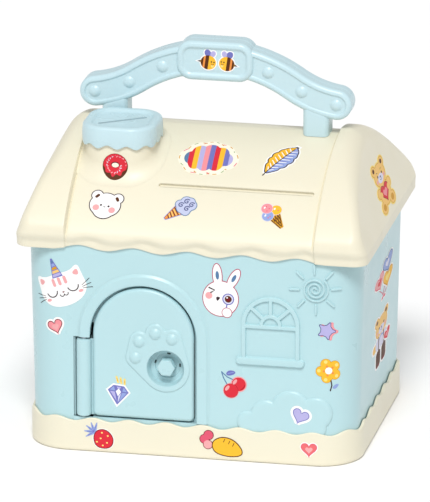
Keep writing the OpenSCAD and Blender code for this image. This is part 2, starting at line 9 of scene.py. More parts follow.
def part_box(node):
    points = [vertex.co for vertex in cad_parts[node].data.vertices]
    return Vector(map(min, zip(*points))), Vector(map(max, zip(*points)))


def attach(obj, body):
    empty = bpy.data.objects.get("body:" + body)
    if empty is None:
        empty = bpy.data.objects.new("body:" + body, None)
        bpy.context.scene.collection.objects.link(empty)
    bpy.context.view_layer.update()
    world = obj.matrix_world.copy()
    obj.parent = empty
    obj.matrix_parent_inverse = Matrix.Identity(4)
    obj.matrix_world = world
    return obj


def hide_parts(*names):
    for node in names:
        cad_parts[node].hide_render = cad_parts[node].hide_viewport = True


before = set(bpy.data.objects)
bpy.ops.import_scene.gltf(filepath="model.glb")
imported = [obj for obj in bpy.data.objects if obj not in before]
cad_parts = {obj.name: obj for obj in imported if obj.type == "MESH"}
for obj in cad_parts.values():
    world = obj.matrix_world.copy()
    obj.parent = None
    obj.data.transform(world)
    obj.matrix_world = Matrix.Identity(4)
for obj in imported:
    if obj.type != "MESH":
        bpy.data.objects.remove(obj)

MM = 0.001
SIDES = (-1, 1)
CORNERS = [(sx, sy) for sx in SIDES for sy in SIDES]


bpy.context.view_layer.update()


def extent(node):
    """A CAD node's box in mm: lowest x, y, z and highest x, y, z."""
    low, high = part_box(node)
    return [c / MM for c in low], [c / MM for c in high]


# ---------- measures of the frame, in mm ----------

(_, _, _), (TRAY_X, TRAY_Y, _) = extent("base_tray")
(_, _, BODY_LOW_Z), (BODY_X, _, BODY_TOP_Z) = extent("house_body")
(_, _, EAVE_Z), (ROOF_X, _, _) = extent("roof_shell")
(CAP_X0, CAP_Y0, CAP_LOW_Z), (CAP_X1, CAP_Y1, CAP_TOP_Z) = extent("chimney_cap")
(PIN_X0, PIN_Y0, _), (PIN_X1, PIN_Y1, _) = extent("door_hinge_pin")
(HEX_X0, _, HEX_Z0), (HEX_X1, _, HEX_Z1) = extent("lock_spindle")
(_, _, _), (BASE_SCREW_X, BASE_SCREW_Y, _) = extent("base_screws")

HINGE = ((PIN_X0 + PIN_X1) / 2, (PIN_Y0 + PIN_Y1) / 2)
LOCK = ((HEX_X0 + HEX_X1) / 2, (HEX_Z0 + HEX_Z1) / 2)
CHIMNEY = ((CAP_X0 + CAP_X1) / 2, (CAP_Y0 + CAP_Y1) / 2)

BODY_Y = 72.1
BODY_R = 20.5
WALL = 2.2
BODY_LOW_X = 87.7
LEAN = (BODY_X - BODY_LOW_X) / (BODY_TOP_Z - BODY_LOW_Z)
TRAY_R = 23.2
TRAY_WALL = 1.55
RIM_Z = 18
RIM_WAVE = 1.0
RIM_PITCH = 20
FLOOR = 3

SLOPE_R = 111.3
SLOPE_Z = 51.8
SLOPE_Y = 11.6
ROOF_Y = 75.4
ROOF_WALL = 2.4
GABLE_Z = 118
GABLE_LEAN = 0.35
ROOF_EDGE = 8
BAND_X = 66.9
BAND_RISE = 3
BAND_PROUD = 1
EAVE_PITCH = 29.3
EAVE_SHIFT = -1.4
EAVE_RISE = 2.5
CHIMNEY_HALF = 18.5
CHIMNEY_R = 12.5
CHIMNEY_WALL = 2
CHIMNEY_FILLET = 6.5
SLOT_X = 20.6
SLOT_Y = -51
SLOT_L = 83.4
SLOT_W = 2.4
COIN_SLOT = (28, 2.4, 1.15)
COIN_SLOT_TURN = 34.5

DOOR_X = -25.2
ARCH_Z = 65
DOOR_R = 28.8
REBATE_Y = 68.4
JAMB_BACK_Y = 65
SILL_Z = 19
FRAME_R = 35.5
FRAME_OUT = 1.2
LIP_R = 27.2
PANEL_R = 27.35
PANEL_LOW_Z = 19.7
PANEL_Y = -72.8
PANEL_BACK_Y = -70.2
PAW_H = 0.8
WELL_R = 10
WELL_Y = -67.5
CUP_R = 11.8
CUP_Y = -65.5
SPINDLE_HOLE_R = 3.05
TOES = [(-29.2, 54), (-27.2, 63.2), (-18.5, 68), (-9.4, 65.5)]
NOTCH_X = -62.9
NOTCH_Z = 63.6
BARREL_R = 4.0
BARREL_TOP_Z = 62.5

ARM_R1 = 76
ARM_Z1 = 124.8
ARM_TURN = 33.5
ARM_R2 = 56.9
ARM_END = 8
ARM_W = 8.3
HANDLE_T = 7
PLAQUE = (41.6, 21.6, 8)
PLAQUE_Z = 199.8
PLAQUE_T = 8
STUD_X = (28.6, 46.7, 65.4)
POST_X = 54.5

SCREW_HOLE_R = 1.55
CLEAR_HOLE_R = 1.75
BOSS_R = 4.5
BASE_BOSS = (77.5, 61.5)
ROOF_BOSS = (77, 59.5)

FILM = 0.14
FINE = 2.5


def slope_angle(y):
    """Angle of the slope's surface at a distance y from the ridge, from level."""
    return asin((abs(y) + SLOPE_Y) / SLOPE_R)


def slope_z(y):
    return SLOPE_Z + sqrt(SLOPE_R ** 2 - (abs(y) + SLOPE_Y) ** 2)


def side_x(z):
    return BODY_LOW_X + LEAN * (z - BODY_LOW_Z)


def smooth(t):
    t = min(1, max(0, t))
    return t * t * (3 - 2 * t)


# ---------- materials ----------

def srgb(r, g, b):
    """Linear colour from 0 to 255 display values."""
    linear = [c / 255 / 12.92 if c <= 10 else ((c / 255 + 0.055) / 1.055) ** 2.4 for c in (r, g, b)]
    return (*linear, 1)


def tint(colour, k):
    return tuple(min(1, c * k) for c in colour[:3]) + (1,)


class Look:
    """A procedural material round one Principled shader."""

    def __init__(self, name):
        self.mat = bpy.data.materials.new(name)
        self.mat.use_nodes = True
        self.nodes, self.links = self.mat.node_tree.nodes, self.mat.node_tree.links
        self.sockets = self.nodes["Principled BSDF"].inputs
        self.coord = self.nodes.new("ShaderNodeTexCoord").outputs["Object"]

    def add(self, kind, values, links):
        """A new node, with values and links given by input socket."""
        node = self.nodes.new("ShaderNode" + kind)
        if kind == "Mix":
            node.data_type = "RGBA"
        for key, value in values.items():
            node.inputs[key].default_value = value
        for key, source in links.items():
            self.links.new(source, node.inputs[key])
        return node

    def noise(self, scale, detail, rough=0.5):
        values = {"Scale": scale, "Detail": detail, "Roughness": rough}
        return self.add("TexNoise", values, {"Vector": self.coord}).outputs["Fac"]

    def colour(self, source, a, b):
        mix = self.add("Mix", {6: a, 7: b}, {0: source})
        self.links.new(mix.outputs[2], self.sockets["Base Color"])

    def rough(self, source, low, high):
        values = {"From Min": 0.3, "From Max": 0.7, "To Min": low, "To Max": high}
        ramp = self.add("MapRange", values, {"Value": source})
        self.links.new(ramp.outputs["Result"], self.sockets["Roughness"])

    def bumps(self, *layers):
        """Stacked bump layers: (height, strength, distance in mm)."""
        last = None
        for height, strength, distance in layers:
            links = {"Height": height, "Normal": last} if last else {"Height": height}
            last = self.add("Bump", {"Strength": strength, "Distance": distance * MM},
                            links).outputs["Normal"]
        self.links.new(last, self.sockets["Normal"])

    def set(self, **values):
        for key, value in values.items():
            self.sockets[key.replace("_", " ")].default_value = value


def plastic(name, colour, rough):
    """Satin moulded plastic: faint flow marks, fine spark-eroded grain, slightly uneven gloss."""
    look = Look(name)
    flow, grain, soft = look.noise(14, 2), look.noise(2600, 2, 0.6), look.noise(55, 3)
    look.colour(flow, tint(colour, 0.975), tint(colour, 1.02))
    look.rough(soft, rough - 0.035, rough + 0.05)
    look.bumps((grain, 0.12, 0.05), (soft, 0.02, 0.1))
    look.set(IOR=1.47, Specular_IOR_Level=0.46, Subsurface_Weight=0.06, Subsurface_Radius=(0.8, 0.9, 1.0),
             Subsurface_Scale=0.6 * MM)
    return look.mat


def metal(name, colour, rough):
    """Zinc-plated steel with turning marks."""
    look = Look(name)
    patch, scratch = look.noise(180, 4), look.noise(1500, 3, 0.7)
    look.colour(patch, tint(colour, 0.86), tint(colour, 1.08))
    look.rough(scratch, rough - 0.07, rough + 0.12)
    look.bumps((scratch, 0.2, 0.04))
    look.set(Metallic=1)
    return look.mat


def vinyl(name, colour):
    """Printed vinyl: the ink's slight mottle under a smooth gloss film."""
    look = Look(name)
    mottle, film = look.noise(420, 4, 0.6), look.noise(90, 2)
    look.colour(mottle, tint(colour, 0.95), tint(colour, 1.04))
    look.rough(film, 0.4, 0.52)
    look.bumps((film, 0.1, 0.08))
    look.set(IOR=1.45, Specular_IOR_Level=0.1)
    return look.mat


def studio_paper():
    look = Look("studio_paper")
    look.colour(look.noise(3, 2), (0.95, 0.95, 0.95, 1), (0.97, 0.97, 0.97, 1))
    look.set(Roughness=0.9, Specular_IOR_Level=0.1)
    return look.mat


BLUE = plastic("blue_plastic", srgb(179, 212, 217), 0.3)
# Painted light: a lighter copy of the blue plastic for the handle and the chimney cap, standing in for the
# stronger light on their upward-facing surfaces
BLUE_PAINTED_BRIGHTER = plastic("blue_plastic_painted_brighter", srgb(191, 217, 224), 0.28)
CREAM = plastic("cream_plastic", srgb(229, 223, 201), 0.38)
# Painted shade: a near-black blue that stands in for the dark inside small slots in the lock's well
PAINTED_SHADE = plastic("painted_shade_plastic", srgb(38, 66, 70), 0.6)
LINING = plastic("lining_plastic", srgb(186, 221, 226), 0.45)
SCREW = metal("zinc_screw", srgb(196, 198, 202), 0.3)
CAM = metal("cam_steel", srgb(178, 181, 188), 0.36)

INKS = {
    "white": (252, 251, 250), "paper": (250, 250, 248), "ivory": (250, 244, 226), "pearl": (224, 222, 242),
    "pink": (243, 150, 158), "blush": (240, 172, 174), "coral": (236, 112, 116), "rose": (226, 92, 118),
    "red": (221, 52, 66), "crimson": (186, 62, 96), "dark_red": (120, 34, 40), "brown": (92, 52, 30),
    "ink": (62, 46, 52), "orange": (240, 150, 74), "yellow": (249, 191, 58), "light_yellow": (252, 224, 130),
    "tan": (247, 201, 120), "gold": (214, 156, 44), "green": (150, 178, 120), "lavender": (196, 202, 230),
    "lilac": (186, 180, 226), "purple": (118, 120, 190), "navy": (78, 84, 132), "slate": (92, 128, 168),
    "sky": (150, 168, 220),
}
_ink_materials = {}


def ink(name):
    if name not in _ink_materials:
        _ink_materials[name] = vinyl("ink_" + name, tint(srgb(*INKS[name]), 0.92))
    return _ink_materials[name]


# ---------- outlines: counter-clockwise lists of (u, v) in mm ----------

def arc(cx, cy, r, a0, a1, n):
    return [(cx + r * cos(radians(a0 + (a1 - a0) * i / n)), cy + r * sin(radians(a0 + (a1 - a0) * i / n)))
            for i in range(n + 1)]


def moved(loop, shift=(0, 0), turn=0, scale=1, flip=False):
    c, s = cos(radians(turn)) * scale, sin(radians(turn)) * scale
    out = [((-u if flip else u), v) for u, v in loop]
    if flip:
        out.reverse()
    return [(shift[0] + u * c - v * s, shift[1] + u * s + v * c) for u, v in out]


def disc(cx, cy, r, n=36, tall=1, turn=0):
    """Circle, or an ellipse when tall isn't 1."""
    loop = [(r * cos(2 * pi * i / n), r * tall * sin(2 * pi * i / n)) for i in range(n)]
    return moved(loop, (cx, cy), turn)


def rounded(w, h, r, cx=0, cy=0, n=8):
    a, b = w / 2 - r, h / 2 - r
    return (arc(cx + a, cy - b, r, -90, 0, n) + arc(cx + a, cy + b, r, 0, 90, n)
            + arc(cx - a, cy + b, r, 90, 180, n) + arc(cx - a, cy - b, r, 180, 270, n))


def area(loop):
    return sum(loop[i - 1][0] * loop[i][1] - loop[i][0] * loop[i - 1][1] for i in range(len(loop))) / 2


def offset(loop, out):
    """The outline moved outwards by out, point for point."""
    if area(loop) < 0:
        out = -out
    res = []
    for i, (bx, by) in enumerate(loop):
        (ax, ay), (cx, cy) = loop[i - 1], loop[(i + 1) % len(loop)]
        l1, l2 = hypot(bx - ax, by - ay) or 1e-9, hypot(cx - bx, cy - by) or 1e-9
        n1, n2 = ((by - ay) / l1, -(bx - ax) / l1), ((cy - by) / l2, -(cx - bx) / l2)
        nx, ny = n1[0] + n2[0], n1[1] + n2[1]
        k = nx * nx + ny * ny
        if k < 0.35:
            # a hairpin: no mitre
            res.append((bx + n1[0] * out, by + n1[1] * out))
        else:
            res.append((bx + nx * (2 * out / k), by + ny * (2 * out / k)))
    return res


def soften(loop, times=2, closed=True):
    """Corners cut off, several times over."""
    for _ in range(times):
        n, res = len(loop), []
        for i in range(n if closed else n - 1):
            (ax, ay), (bx, by) = loop[i], loop[(i + 1) % n]
            res += [(0.75 * ax + 0.25 * bx, 0.75 * ay + 0.25 * by),
                    (0.25 * ax + 0.75 * bx, 0.25 * ay + 0.75 * by)]
        loop = res if closed else [loop[0]] + res + [loop[-1]]
    return loop


def split(loop, step):
    """The same outline with no side longer than step, or just as it is when step is 0."""
    if not step:
        return loop
    out = []
    for i, a in enumerate(loop):
        b = loop[(i + 1) % len(loop)]
        k = max(1, int(hypot(b[0] - a[0], b[1] - a[1]) / step + 0.999))
        out += [(a[0] + (b[0] - a[0]) * j / k, a[1] + (b[1] - a[1]) * j / k) for j in range(k)]
    return out


def heart(width, n=48):
    k, pts = width / 32, []
    for i in range(n):
        t = -2 * pi * i / n
        pts.append((k * 16 * sin(t) ** 3,
                    k * (13 * cos(t) - 5 * cos(2 * t) - 2 * cos(3 * t) - cos(4 * t) + 2)))
    return pts


def star(r, inner, points, turn):
    loop = []
    for i in range(2 * points):
        k = r if i % 2 == 0 else r * inner
        a = radians(turn + i * 180 / points)
        loop.append((k * cos(a), k * sin(a)))
    return loop


def stroke(points, w, taper=1):
    """Thin band along a line, with round ends, thinner at its end by taper."""
    n = len(points)
    left, right = [], []
    for i, (x, y) in enumerate(points):
        (ax, ay), (bx, by) = points[max(0, i - 1)], points[min(n - 1, i + 1)]
        run = hypot(bx - ax, by - ay) or 1e-9
        k = w / 2 * (1 + (taper - 1) * i / max(1, n - 1))
        nx, ny = -(by - ay) / run * k, (bx - ax) / run * k
        left.append((x + nx, y + ny))
        right.append((x - nx, y - ny))

    def end_cap(a, b, r):
        turn = degrees(atan2(b[1] - a[1], b[0] - a[0]))
        return arc(b[0], b[1], r, turn - 90, turn + 90, 4)[1:-1]

    return (right + end_cap(points[-2], points[-1], w / 2 * taper)
            + left[::-1] + end_cap(points[1], points[0], w / 2))


def union(circles, centre, n=160):
    """Outline of overlapping circles (x, y, r), seen from a centre inside them."""
    loop = []
    for i in range(n):
        a = 2 * pi * i / n
        dx, dy = cos(a), sin(a)
        far = 0.1
        for x, y, r in circles:
            px, py = x - centre[0], y - centre[1]
            along = px * dx + py * dy
            miss = r * r - (px * px + py * py - along * along)
            if miss >= 0:
                far = max(far, along + sqrt(miss))
        loop.append((centre[0] + far * dx, centre[1] + far * dy))
    return loop


def chain(a, b, n=14):
    """Circles that grow from a to b, so that their union has straight sides."""
    return [tuple(p + (q - p) * i / n for p, q in zip(a, b)) for i in range(n + 1)]


def inside(p, loop):
    """True if p is in the outline, by its winding number."""
    x, y = p
    wind = 0
    for i in range(len(loop)):
        (ax, ay), (bx, by) = loop[i - 1], loop[i]
        side = (bx - ax) * (y - ay) - (x - ax) * (by - ay)
        if ay <= y < by and side > 0:
            wind += 1
        elif by <= y < ay and side < 0:
            wind -= 1
    return wind != 0


# ---------- meshes, built in mm ----------

class Shape:
    """Points, faces and the material index of each face."""

    def __init__(self, *solids):
        self.points, self.faces, self.marks = [], [], []
        for obj in solids:
            self.absorb(obj)

    def ring(self, pts):
        first = len(self.points)
        self.points += [tuple(p) for p in pts]
        return list(range(first, len(self.points)))

    def face(self, ids, mark=0):
        self.faces.append(tuple(ids))
        self.marks.append(mark)

    def bridge(self, a, b, mark=0):
        """Quads from ring a to ring b, facing outwards when both run counter-clockwise and b is the outer."""
        for i in range(len(a)):
            j = (i + 1) % len(a)
            self.face((a[i], a[j], b[j], b[i]), mark)

    def loft(self, rings, ends=False, mark=0):
        ids = [self.ring(r) for r in rings]
        for a, b in zip(ids, ids[1:]):
            self.bridge(a, b, mark)
        if ends:
            self.face(ids[0][::-1])
            self.face(ids[-1])
        return ids

    def absorb(self, obj):
        """Takes over the mesh of a helper object and removes it."""
        first = len(self.points)
        self.points += [tuple(c / MM for c in v.co) for v in obj.data.vertices]
        for p in obj.data.polygons:
            self.face([first + i for i in p.vertices])
        drop(obj)


def drop(obj):
    mesh = obj.data
    bpy.data.objects.remove(obj)
    bpy.data.meshes.remove(mesh)


def to_object(shape, name, closed=False):
    mesh = bpy.data.meshes.new(name)
    mesh.from_pydata([(x * MM, y * MM, z * MM) for x, y, z in shape.points], [], shape.faces)
    mesh.polygons.foreach_set("material_index", shape.marks)
    bm = bmesh.new()
    bm.from_mesh(mesh)
    bmesh.ops.remove_doubles(bm, verts=bm.verts, dist=0.002 * MM)
    bmesh.ops.dissolve_degenerate(bm, edges=bm.edges, dist=0.001 * MM)
    bmesh.ops.delete(bm, geom=[v for v in bm.verts if not v.link_faces], context="VERTS")
    if closed:
        bmesh.ops.recalc_face_normals(bm, faces=bm.faces)
    bm.to_mesh(mesh)
    bm.free()
    obj = bpy.data.objects.new(name, mesh)
    bpy.context.scene.collection.objects.link(obj)
    return obj


def solid(rings, ends=True):
    """Closed helper object over a row of rings."""
    shape = Shape()
    shape.loft(rings, ends)
    return to_object(shape, "helper", closed=True)


def piece(shape, name, body, materials, node, sharp=38, weighted=True):
    """Turns a shape into a finished piece that rides on a body and stands in for a CAD node."""
    obj = to_object(shape, name)
    for mat in materials:
        obj.data.materials.append(mat)
    obj.data.shade_smooth()
    obj.data.set_sharp_from_angle(angle=radians(sharp))
    if weighted:
        mod = obj.modifiers.new("normals", "WEIGHTED_NORMAL")
        mod.keep_sharp = True
        mod.weight = 60
    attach(obj, body)
    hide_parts(node)


def boolean(obj, tool, operation="DIFFERENCE", keep=False):
    mod = obj.modifiers.new("cut", "BOOLEAN")
    mod.operation = operation
    mod.solver = "MANIFOLD"
    mod.object = tool
    bpy.context.view_layer.update()
    result = bpy.data.meshes.new_from_object(obj.evaluated_get(bpy.context.evaluated_depsgraph_get()))
    old = obj.data
    obj.modifiers.clear()
    obj.data = result
    bpy.data.meshes.remove(old)
    if not keep:
        drop(tool)
    if not len(result.polygons):
        raise RuntimeError("a boolean left nothing of " + obj.name)
    return obj


def prism(loop, place, low, high):
    """Closed solid over an outline, from height low to high; place maps (u, v, h) to a point."""
    return solid([[place(u, v, h) for u, v in loop] for h in (low, high)])


def block(low, high):
    (x0, y0, z0), (x1, y1, z1) = low, high
    return prism([(x0, y0), (x1, y0), (x1, y1), (x0, y1)], level, z0, z1)


def lathe(shape, profile, place, n=48):
    """Turns (r, h) pairs about an axis; place maps (u, v, h) to a point.

    Faces look outwards when h falls as r grows."""
    rings = []
    for r, h in profile:
        if r < 1e-6:
            rings.append(shape.ring([place(0, 0, h)]) * n)
        else:
            turns = [2 * pi * i / n for i in range(n)]
            rings.append(shape.ring([place(r * cos(t), r * sin(t), h) for t in turns]))
    for a, b in zip(rings, rings[1:]):
        for i in range(n):
            j = (i + 1) % n
            # a point on the axis stands in every place of its ring, so it is used once
            shape.face(list(dict.fromkeys((a[i], a[j], b[j], b[i]))))


def triangles(loops, step, keep):
    """Triangles over outlines. keep(point) gives a triangle's mark, or None or False outside; step adds inner
    points for curved surfaces."""
    points, edges = [], []
    for loop in loops:
        first, n = len(points), len(loop)
        points += loop
        edges += [(first + i, first + (i + 1) % n) for i in range(n)]
    if step:
        us, vs = [p[0] for p in points], [p[1] for p in points]
        nu, nv = int((max(us) - min(us)) / step), int((max(vs) - min(vs)) / step)
        for i in range(1, nu + 1):
            for j in range(1, nv + 1):
                p = (min(us) + (i - 0.5 * (j % 2)) * step, min(vs) + j * step * 0.95)
                if keep(p):
                    points.append(p)
    out = delaunay_2d_cdt([Vector(p) for p in points], edges, [], 0, 1e-4, False)
    verts = [tuple(v) for v in out[0]]
    faces = []
    for f in out[2]:
        mark = keep((sum(verts[i][0] for i in f) / len(f), sum(verts[i][1] for i in f) / len(f)))
        if mark:
            faces.append((list(f), mark))
    return verts, faces


def plate(shape, outer, place, profile, holes=(), hole_profile=None, step=0, mark=0):
    """Raised plate with a shaped edge.

    profile lists (outset, height) from its foot to its top; holes have their own."""
    def edge(loop, steps, side):
        rows = [[place(u, v, h) for u, v in offset(loop, side * out)] for out, h in steps]
        shape.loft(rows[::side], mark=mark)
        return offset(loop, side * steps[-1][0])

    tops = [edge(outer, profile, 1)] + [edge(h, hole_profile, -1) for h in holes]

    def keep(p):
        return inside(p, tops[0]) and not any(inside(p, h) for h in tops[1:])

    verts, faces = triangles(tops, step, keep)
    ids = shape.ring([place(u, v, profile[-1][1]) for u, v in verts])
    for f, _ in faces:
        shape.face([ids[i] for i in f], mark)


def level(u, v, h):
    return (u, v, h)


def at(u0, v0, place=level):
    """The same surface with its start moved."""
    return lambda u, v, h: place(u0 + u, v0 + v, h)


def facing_front(y):
    """Plane facing the door side: u is X, v is Z, h comes out of it."""
    return lambda u, v, h: (u, y - h, v)


def facing_back(y):
    return lambda u, v, h: (-u, y + h, v)


# ---------- surfaces that carry reliefs and stickers ----------

def wrapped(cx, cy, half_w, half_d, r, s, z, h):
    """Point on an upright rounded wall, s along it from the middle of its front, h out of it."""
    side = 1 if s >= 0 else -1
    s = abs(s)
    a = half_w - r
    if s <= a:
        x, y, nx, ny = s, -half_d, 0, -1
    elif s <= a + r * pi / 2:
        t = (s - a) / r
        x, y, nx, ny = a + r * sin(t), -half_d + r - r * cos(t), sin(t), -cos(t)
    else:
        x, y, nx, ny = half_w, -half_d + r + (s - a - r * pi / 2), 1, 0
    return (cx + side * (x + h * nx), cy + y + h * ny, z)


def on_wall(s0=0, z0=0, out=0):
    return lambda u, v, h: wrapped(0, 0, side_x(z0 + v), BODY_Y, BODY_R, s0 + u, z0 + v, h + out)


def on_tray(s0, z0):
    return lambda u, v, h: wrapped(0, 0, TRAY_X, TRAY_Y, TRAY_R, s0 + u, z0 + v, h)


def on_side(y0, z0):
    return lambda u, v, h: (side_x(z0 + v) + h, y0 + u, z0 + v)


def on_gable(y0, z0):
    t = atan2(GABLE_LEAN, 1)

    def place(u, v, h):
        z = z0 + v * cos(t)
        return (ROOF_X - (z - GABLE_Z) * GABLE_LEAN + h * cos(t), y0 + u, z + h * sin(t))
    return place


def on_slope(x0, y0):
    start = slope_angle(y0)

    def place(u, v, h):
        a, r = start - v / SLOPE_R, SLOPE_R + h
        return (x0 + u, SLOPE_Y - r * sin(a), SLOPE_Z + r * cos(a))
    return place


def walk(half_w, half_d, r, count):
    """Evenly spaced (x, y, nx, ny, s) round an upright rounded wall, rightwards from its front's middle."""
    a, b, q = half_w - r, half_d - r, r * pi / 2
    total = 4 * (a + b + q)
    out = []
    for i in range(count):
        s = total * i / count
        t, turn = s + a, 0
        for length in (2 * a, 2 * b, 2 * a, 2 * b):
            if t <= length + q:
                break
            t -= length + q
            turn += 1
        turn %= 4
        half, deep = (a, b + r) if turn % 2 == 0 else (b, a + r)
        if t <= length:
            x, y, nx, ny = t - half, -deep, 0, -1
        else:
            g = (t - length) / r
            x, y, nx, ny = half + r * sin(g), -deep + r - r * cos(g), sin(g), -cos(g)
        c, d = [(1, 0), (0, 1), (-1, 0), (0, -1)][turn]
        out.append((x * c - y * d, x * d + y * c, nx * c - ny * d, nx * d + ny * c, s))
    return out


# ---------- tray and body ----------

def base_tray():
    path = walk(TRAY_X, TRAY_Y, TRAY_R, 560)
    total = 4 * (TRAY_X + TRAY_Y - 2 * TRAY_R) + 2 * pi * TRAY_R
    waves = round(total / RIM_PITCH)
    crest = 7.1

    def row(inset, z_of):
        return [(x - nx * inset, y - ny * inset, z_of(s)) for x, y, nx, ny, s in path]

    def rim(s):
        return RIM_Z + RIM_WAVE * cos(2 * pi * waves * (s - crest) / total)

    # (inset, depth below the rim) over the rim, then (inset, height) round the foot
    over = [(TRAY_WALL, 6), (TRAY_WALL, 0.35), (1.45, 0.1), (1.2, 0), (0.7, 0), (0.3, 0.1), (0.08, 0.35),
            (0, 0.8), (0, 6)]
    foot = [(0, 2.2), (0.12, 1.2), (0.5, 0.5), (1.1, 0.12), (1.8, 0)]
    rows = [row(TRAY_WALL, lambda s: FLOOR)]
    rows += [row(inset, lambda s, d=depth: rim(s) - d) for inset, depth in over]
    rows += [row(inset, lambda s, k=z: k) for inset, z in foot]
    tray = solid([r[::-1] for r in rows])
    head_r, head_room = 2.9, 0.3
    for sx, sy in CORNERS:
        x, y = sx * (BASE_SCREW_X - head_r), sy * (BASE_SCREW_Y - head_r)
        boolean(tray, prism(disc(x, y, head_r + head_room, 32), level, -1, 1.8))
        boolean(tray, prism(disc(x, y, CLEAR_HOLE_R, 24), level, -1, FLOOR + 2))
    boolean(tray, block((NOTCH_X - 0.2, -BODY_Y - 1.2, RIM_Z - 7), (NOTCH_X + 11.4, -BODY_Y + 2, RIM_Z + 13)))
    piece(Shape(tray), "base_tray_moulding", "root", [CREAM], "base_tray")


def body_solid(inset, z0, z1):
    rings = []
    for z in (z0, z1):
        loop = rounded(2 * (side_x(z) - inset), 2 * (BODY_Y - inset), BODY_R - inset, n=20)
        rings.append([(x, y, z) for x, y in loop])
    return solid(rings)


def arch(r, z0, corner=0):
    loop = arc(DOOR_X, ARCH_Z, r, 0, 180, 48)
    if not corner:
        return loop + [(DOOR_X - r, z0), (DOOR_X + r, z0)]
    return (loop + arc(DOOR_X - r + corner, z0 + corner, corner, 180, 270, 6)
            + arc(DOOR_X + r - corner, z0 + corner, corner, 270, 360, 6))


def door_cutters():
    """Tools that open the doorway and make room for the hinge barrel."""
    hx, hy = HINGE
    out_y = BODY_Y + 9
    return [prism(arch(DOOR_R, SILL_Z), facing_front(0), REBATE_Y, out_y),
            block((NOTCH_X, -out_y, SILL_Z), (hx, hy, NOTCH_Z)),
            block((hx - 0.01, -out_y, SILL_Z), (DOOR_X - DOOR_R + 0.2, -BODY_Y + WALL, NOTCH_Z)),
            prism(disc(hx, hy, BARREL_R + 0.7, 48), level, SILL_Z, NOTCH_Z)]


def surround(shape):
    """Raised frame round the door, from the notch over the arch and down the right side."""
    section = [(DOOR_R, -WALL), (DOOR_R, 0.35), (DOOR_R + 0.12, 0.7), (DOOR_R + 0.45, 1.0),
               (DOOR_R + 1.1, FRAME_OUT), (FRAME_R - 1.9, FRAME_OUT), (FRAME_R - 1.55, 1.14),
               (FRAME_R - 1.25, 0.98), (FRAME_R - 0.5, 0.3), (FRAME_R - 0.15, 0.07), (FRAME_R + 0.25, 0),
               (FRAME_R + 0.5, -0.05), (FRAME_R + 0.5, -0.6), (DOOR_R + 1, -WALL)]
    low = RIM_Z + RIM_WAVE + 0.2
    stations = [(180, NOTCH_Z - ARCH_Z)] + [(180 - 3 * i, 0) for i in range(61)] + [(0, low - ARCH_Z)]
    shape.absorb(solid([[(DOOR_X + r * cos(radians(a)), -BODY_Y - h, ARCH_Z + r * sin(radians(a)) + down)
                         for r, h in section] for a, down in stations]))


def window_relief(shape):
    cx, cz, outer, inner, bar, hub = 43.5, 76.7, 15.7, 13.3, 2.1, 3.9
    low = 57.6
    edge = [(0.12, -0.03), (0.04, 0.12), (0, 0.6), (-0.06, 0.9), (-0.22, 1.14), (-0.55, 1.28)]
    pane_edge = [(0.12, -0.03), (0.04, 0.12), (0, 0.6), (-0.04, 0.9), (-0.15, 1.14), (-0.34, 1.28)]
    panes = [rounded(2 * inner, cz - bar - low, 0.5, cx, (cz - bar + low) / 2, n=3)]
    panes.append(soften(arc(cx, cz, hub, 0, 180, 20), 1))
    spokes = [0, 42, 90, 138, 180]
    for a, b in zip(spokes, spokes[1:]):
        def side_arc(r, n):
            """Between two spokes; a bar's half width takes a different angle at each radius."""
            gap = degrees(asin(bar / 2 / r))
            return arc(cx, cz, r, a + (gap if a else 0), b - (gap if b < 180 else 0), n)
        panes.append(side_arc(inner, 12) + side_arc(hub + bar, 8)[::-1])
    frame_loop = arc(cx, cz, outer, 0, 180, 40) + [(cx - outer, low - 1), (cx + outer, low - 1)]
    plate(shape, frame_loop, on_wall(), edge, panes, pane_edge)
    sill_edge = [(0.3, -0.03), (0.08, 0.15), (0, 0.7), (-0.16, 1.3), (-0.55, 1.72), (-1.05, 1.85)]
    plate(shape, rounded(36.9, 4.2, 1.95, 43.25, 56.4), on_wall(), sill_edge)


def sun_relief(shape):
    cx, cz = 67.3, 98
    turns, grow, n = 3.02, 2.1, 150
    line = []
    for i in range(n + 1):
        t = i / n * turns
        r, a = 0.7 + grow * t, 2 * pi * t + 0.6
        line.append((cx + r * cos(a), cz + r * sin(a)))
    coil_edge = [(0.1, -0.02), (0.03, 0.14), (0, 0.6), (-0.07, 0.85), (-0.24, 1.0)]
    ray_edge = [(0.1, -0.02), (0.03, 0.14), (0, 0.6), (-0.1, 0.87), (-0.32, 1.05)]
    plate(shape, stroke(line, 1.05), on_wall(), coil_edge)
    for i in range(8):
        a = radians(45 * i + 2)
        ray = [(cx + r * cos(a), cz + r * sin(a)) for r in (8.7, 10.3, 11.9, 13.4)]
        plate(shape, stroke(ray, 1.3), on_wall(), ray_edge)


def bush_relief(shape):
    circles = [(31.5, 22, 6), (41, 26.5, 8.2), (54.4, 30.6, 10.2), (68, 29, 8.8),
               (40, 19, 8), (52, 19, 10), (65.5, 21.5, 8)]
    low = RIM_Z - RIM_WAVE - 0.5
    loop = [(u, max(v, low)) for u, v in union(circles, (50, 23), 240)]
    clean = [p for i, p in enumerate(loop) if hypot(p[0] - loop[i - 1][0], p[1] - loop[i - 1][1]) > 0.15]
    soft = [(0.3, -0.04), (0.1, 0.12), (-0.1, 0.4), (-0.5, 0.75), (-1.1, 1.0), (-1.8, 1.13), (-2.5, 1.18)]
    plate(shape, clean, on_wall(), soft, step=3)


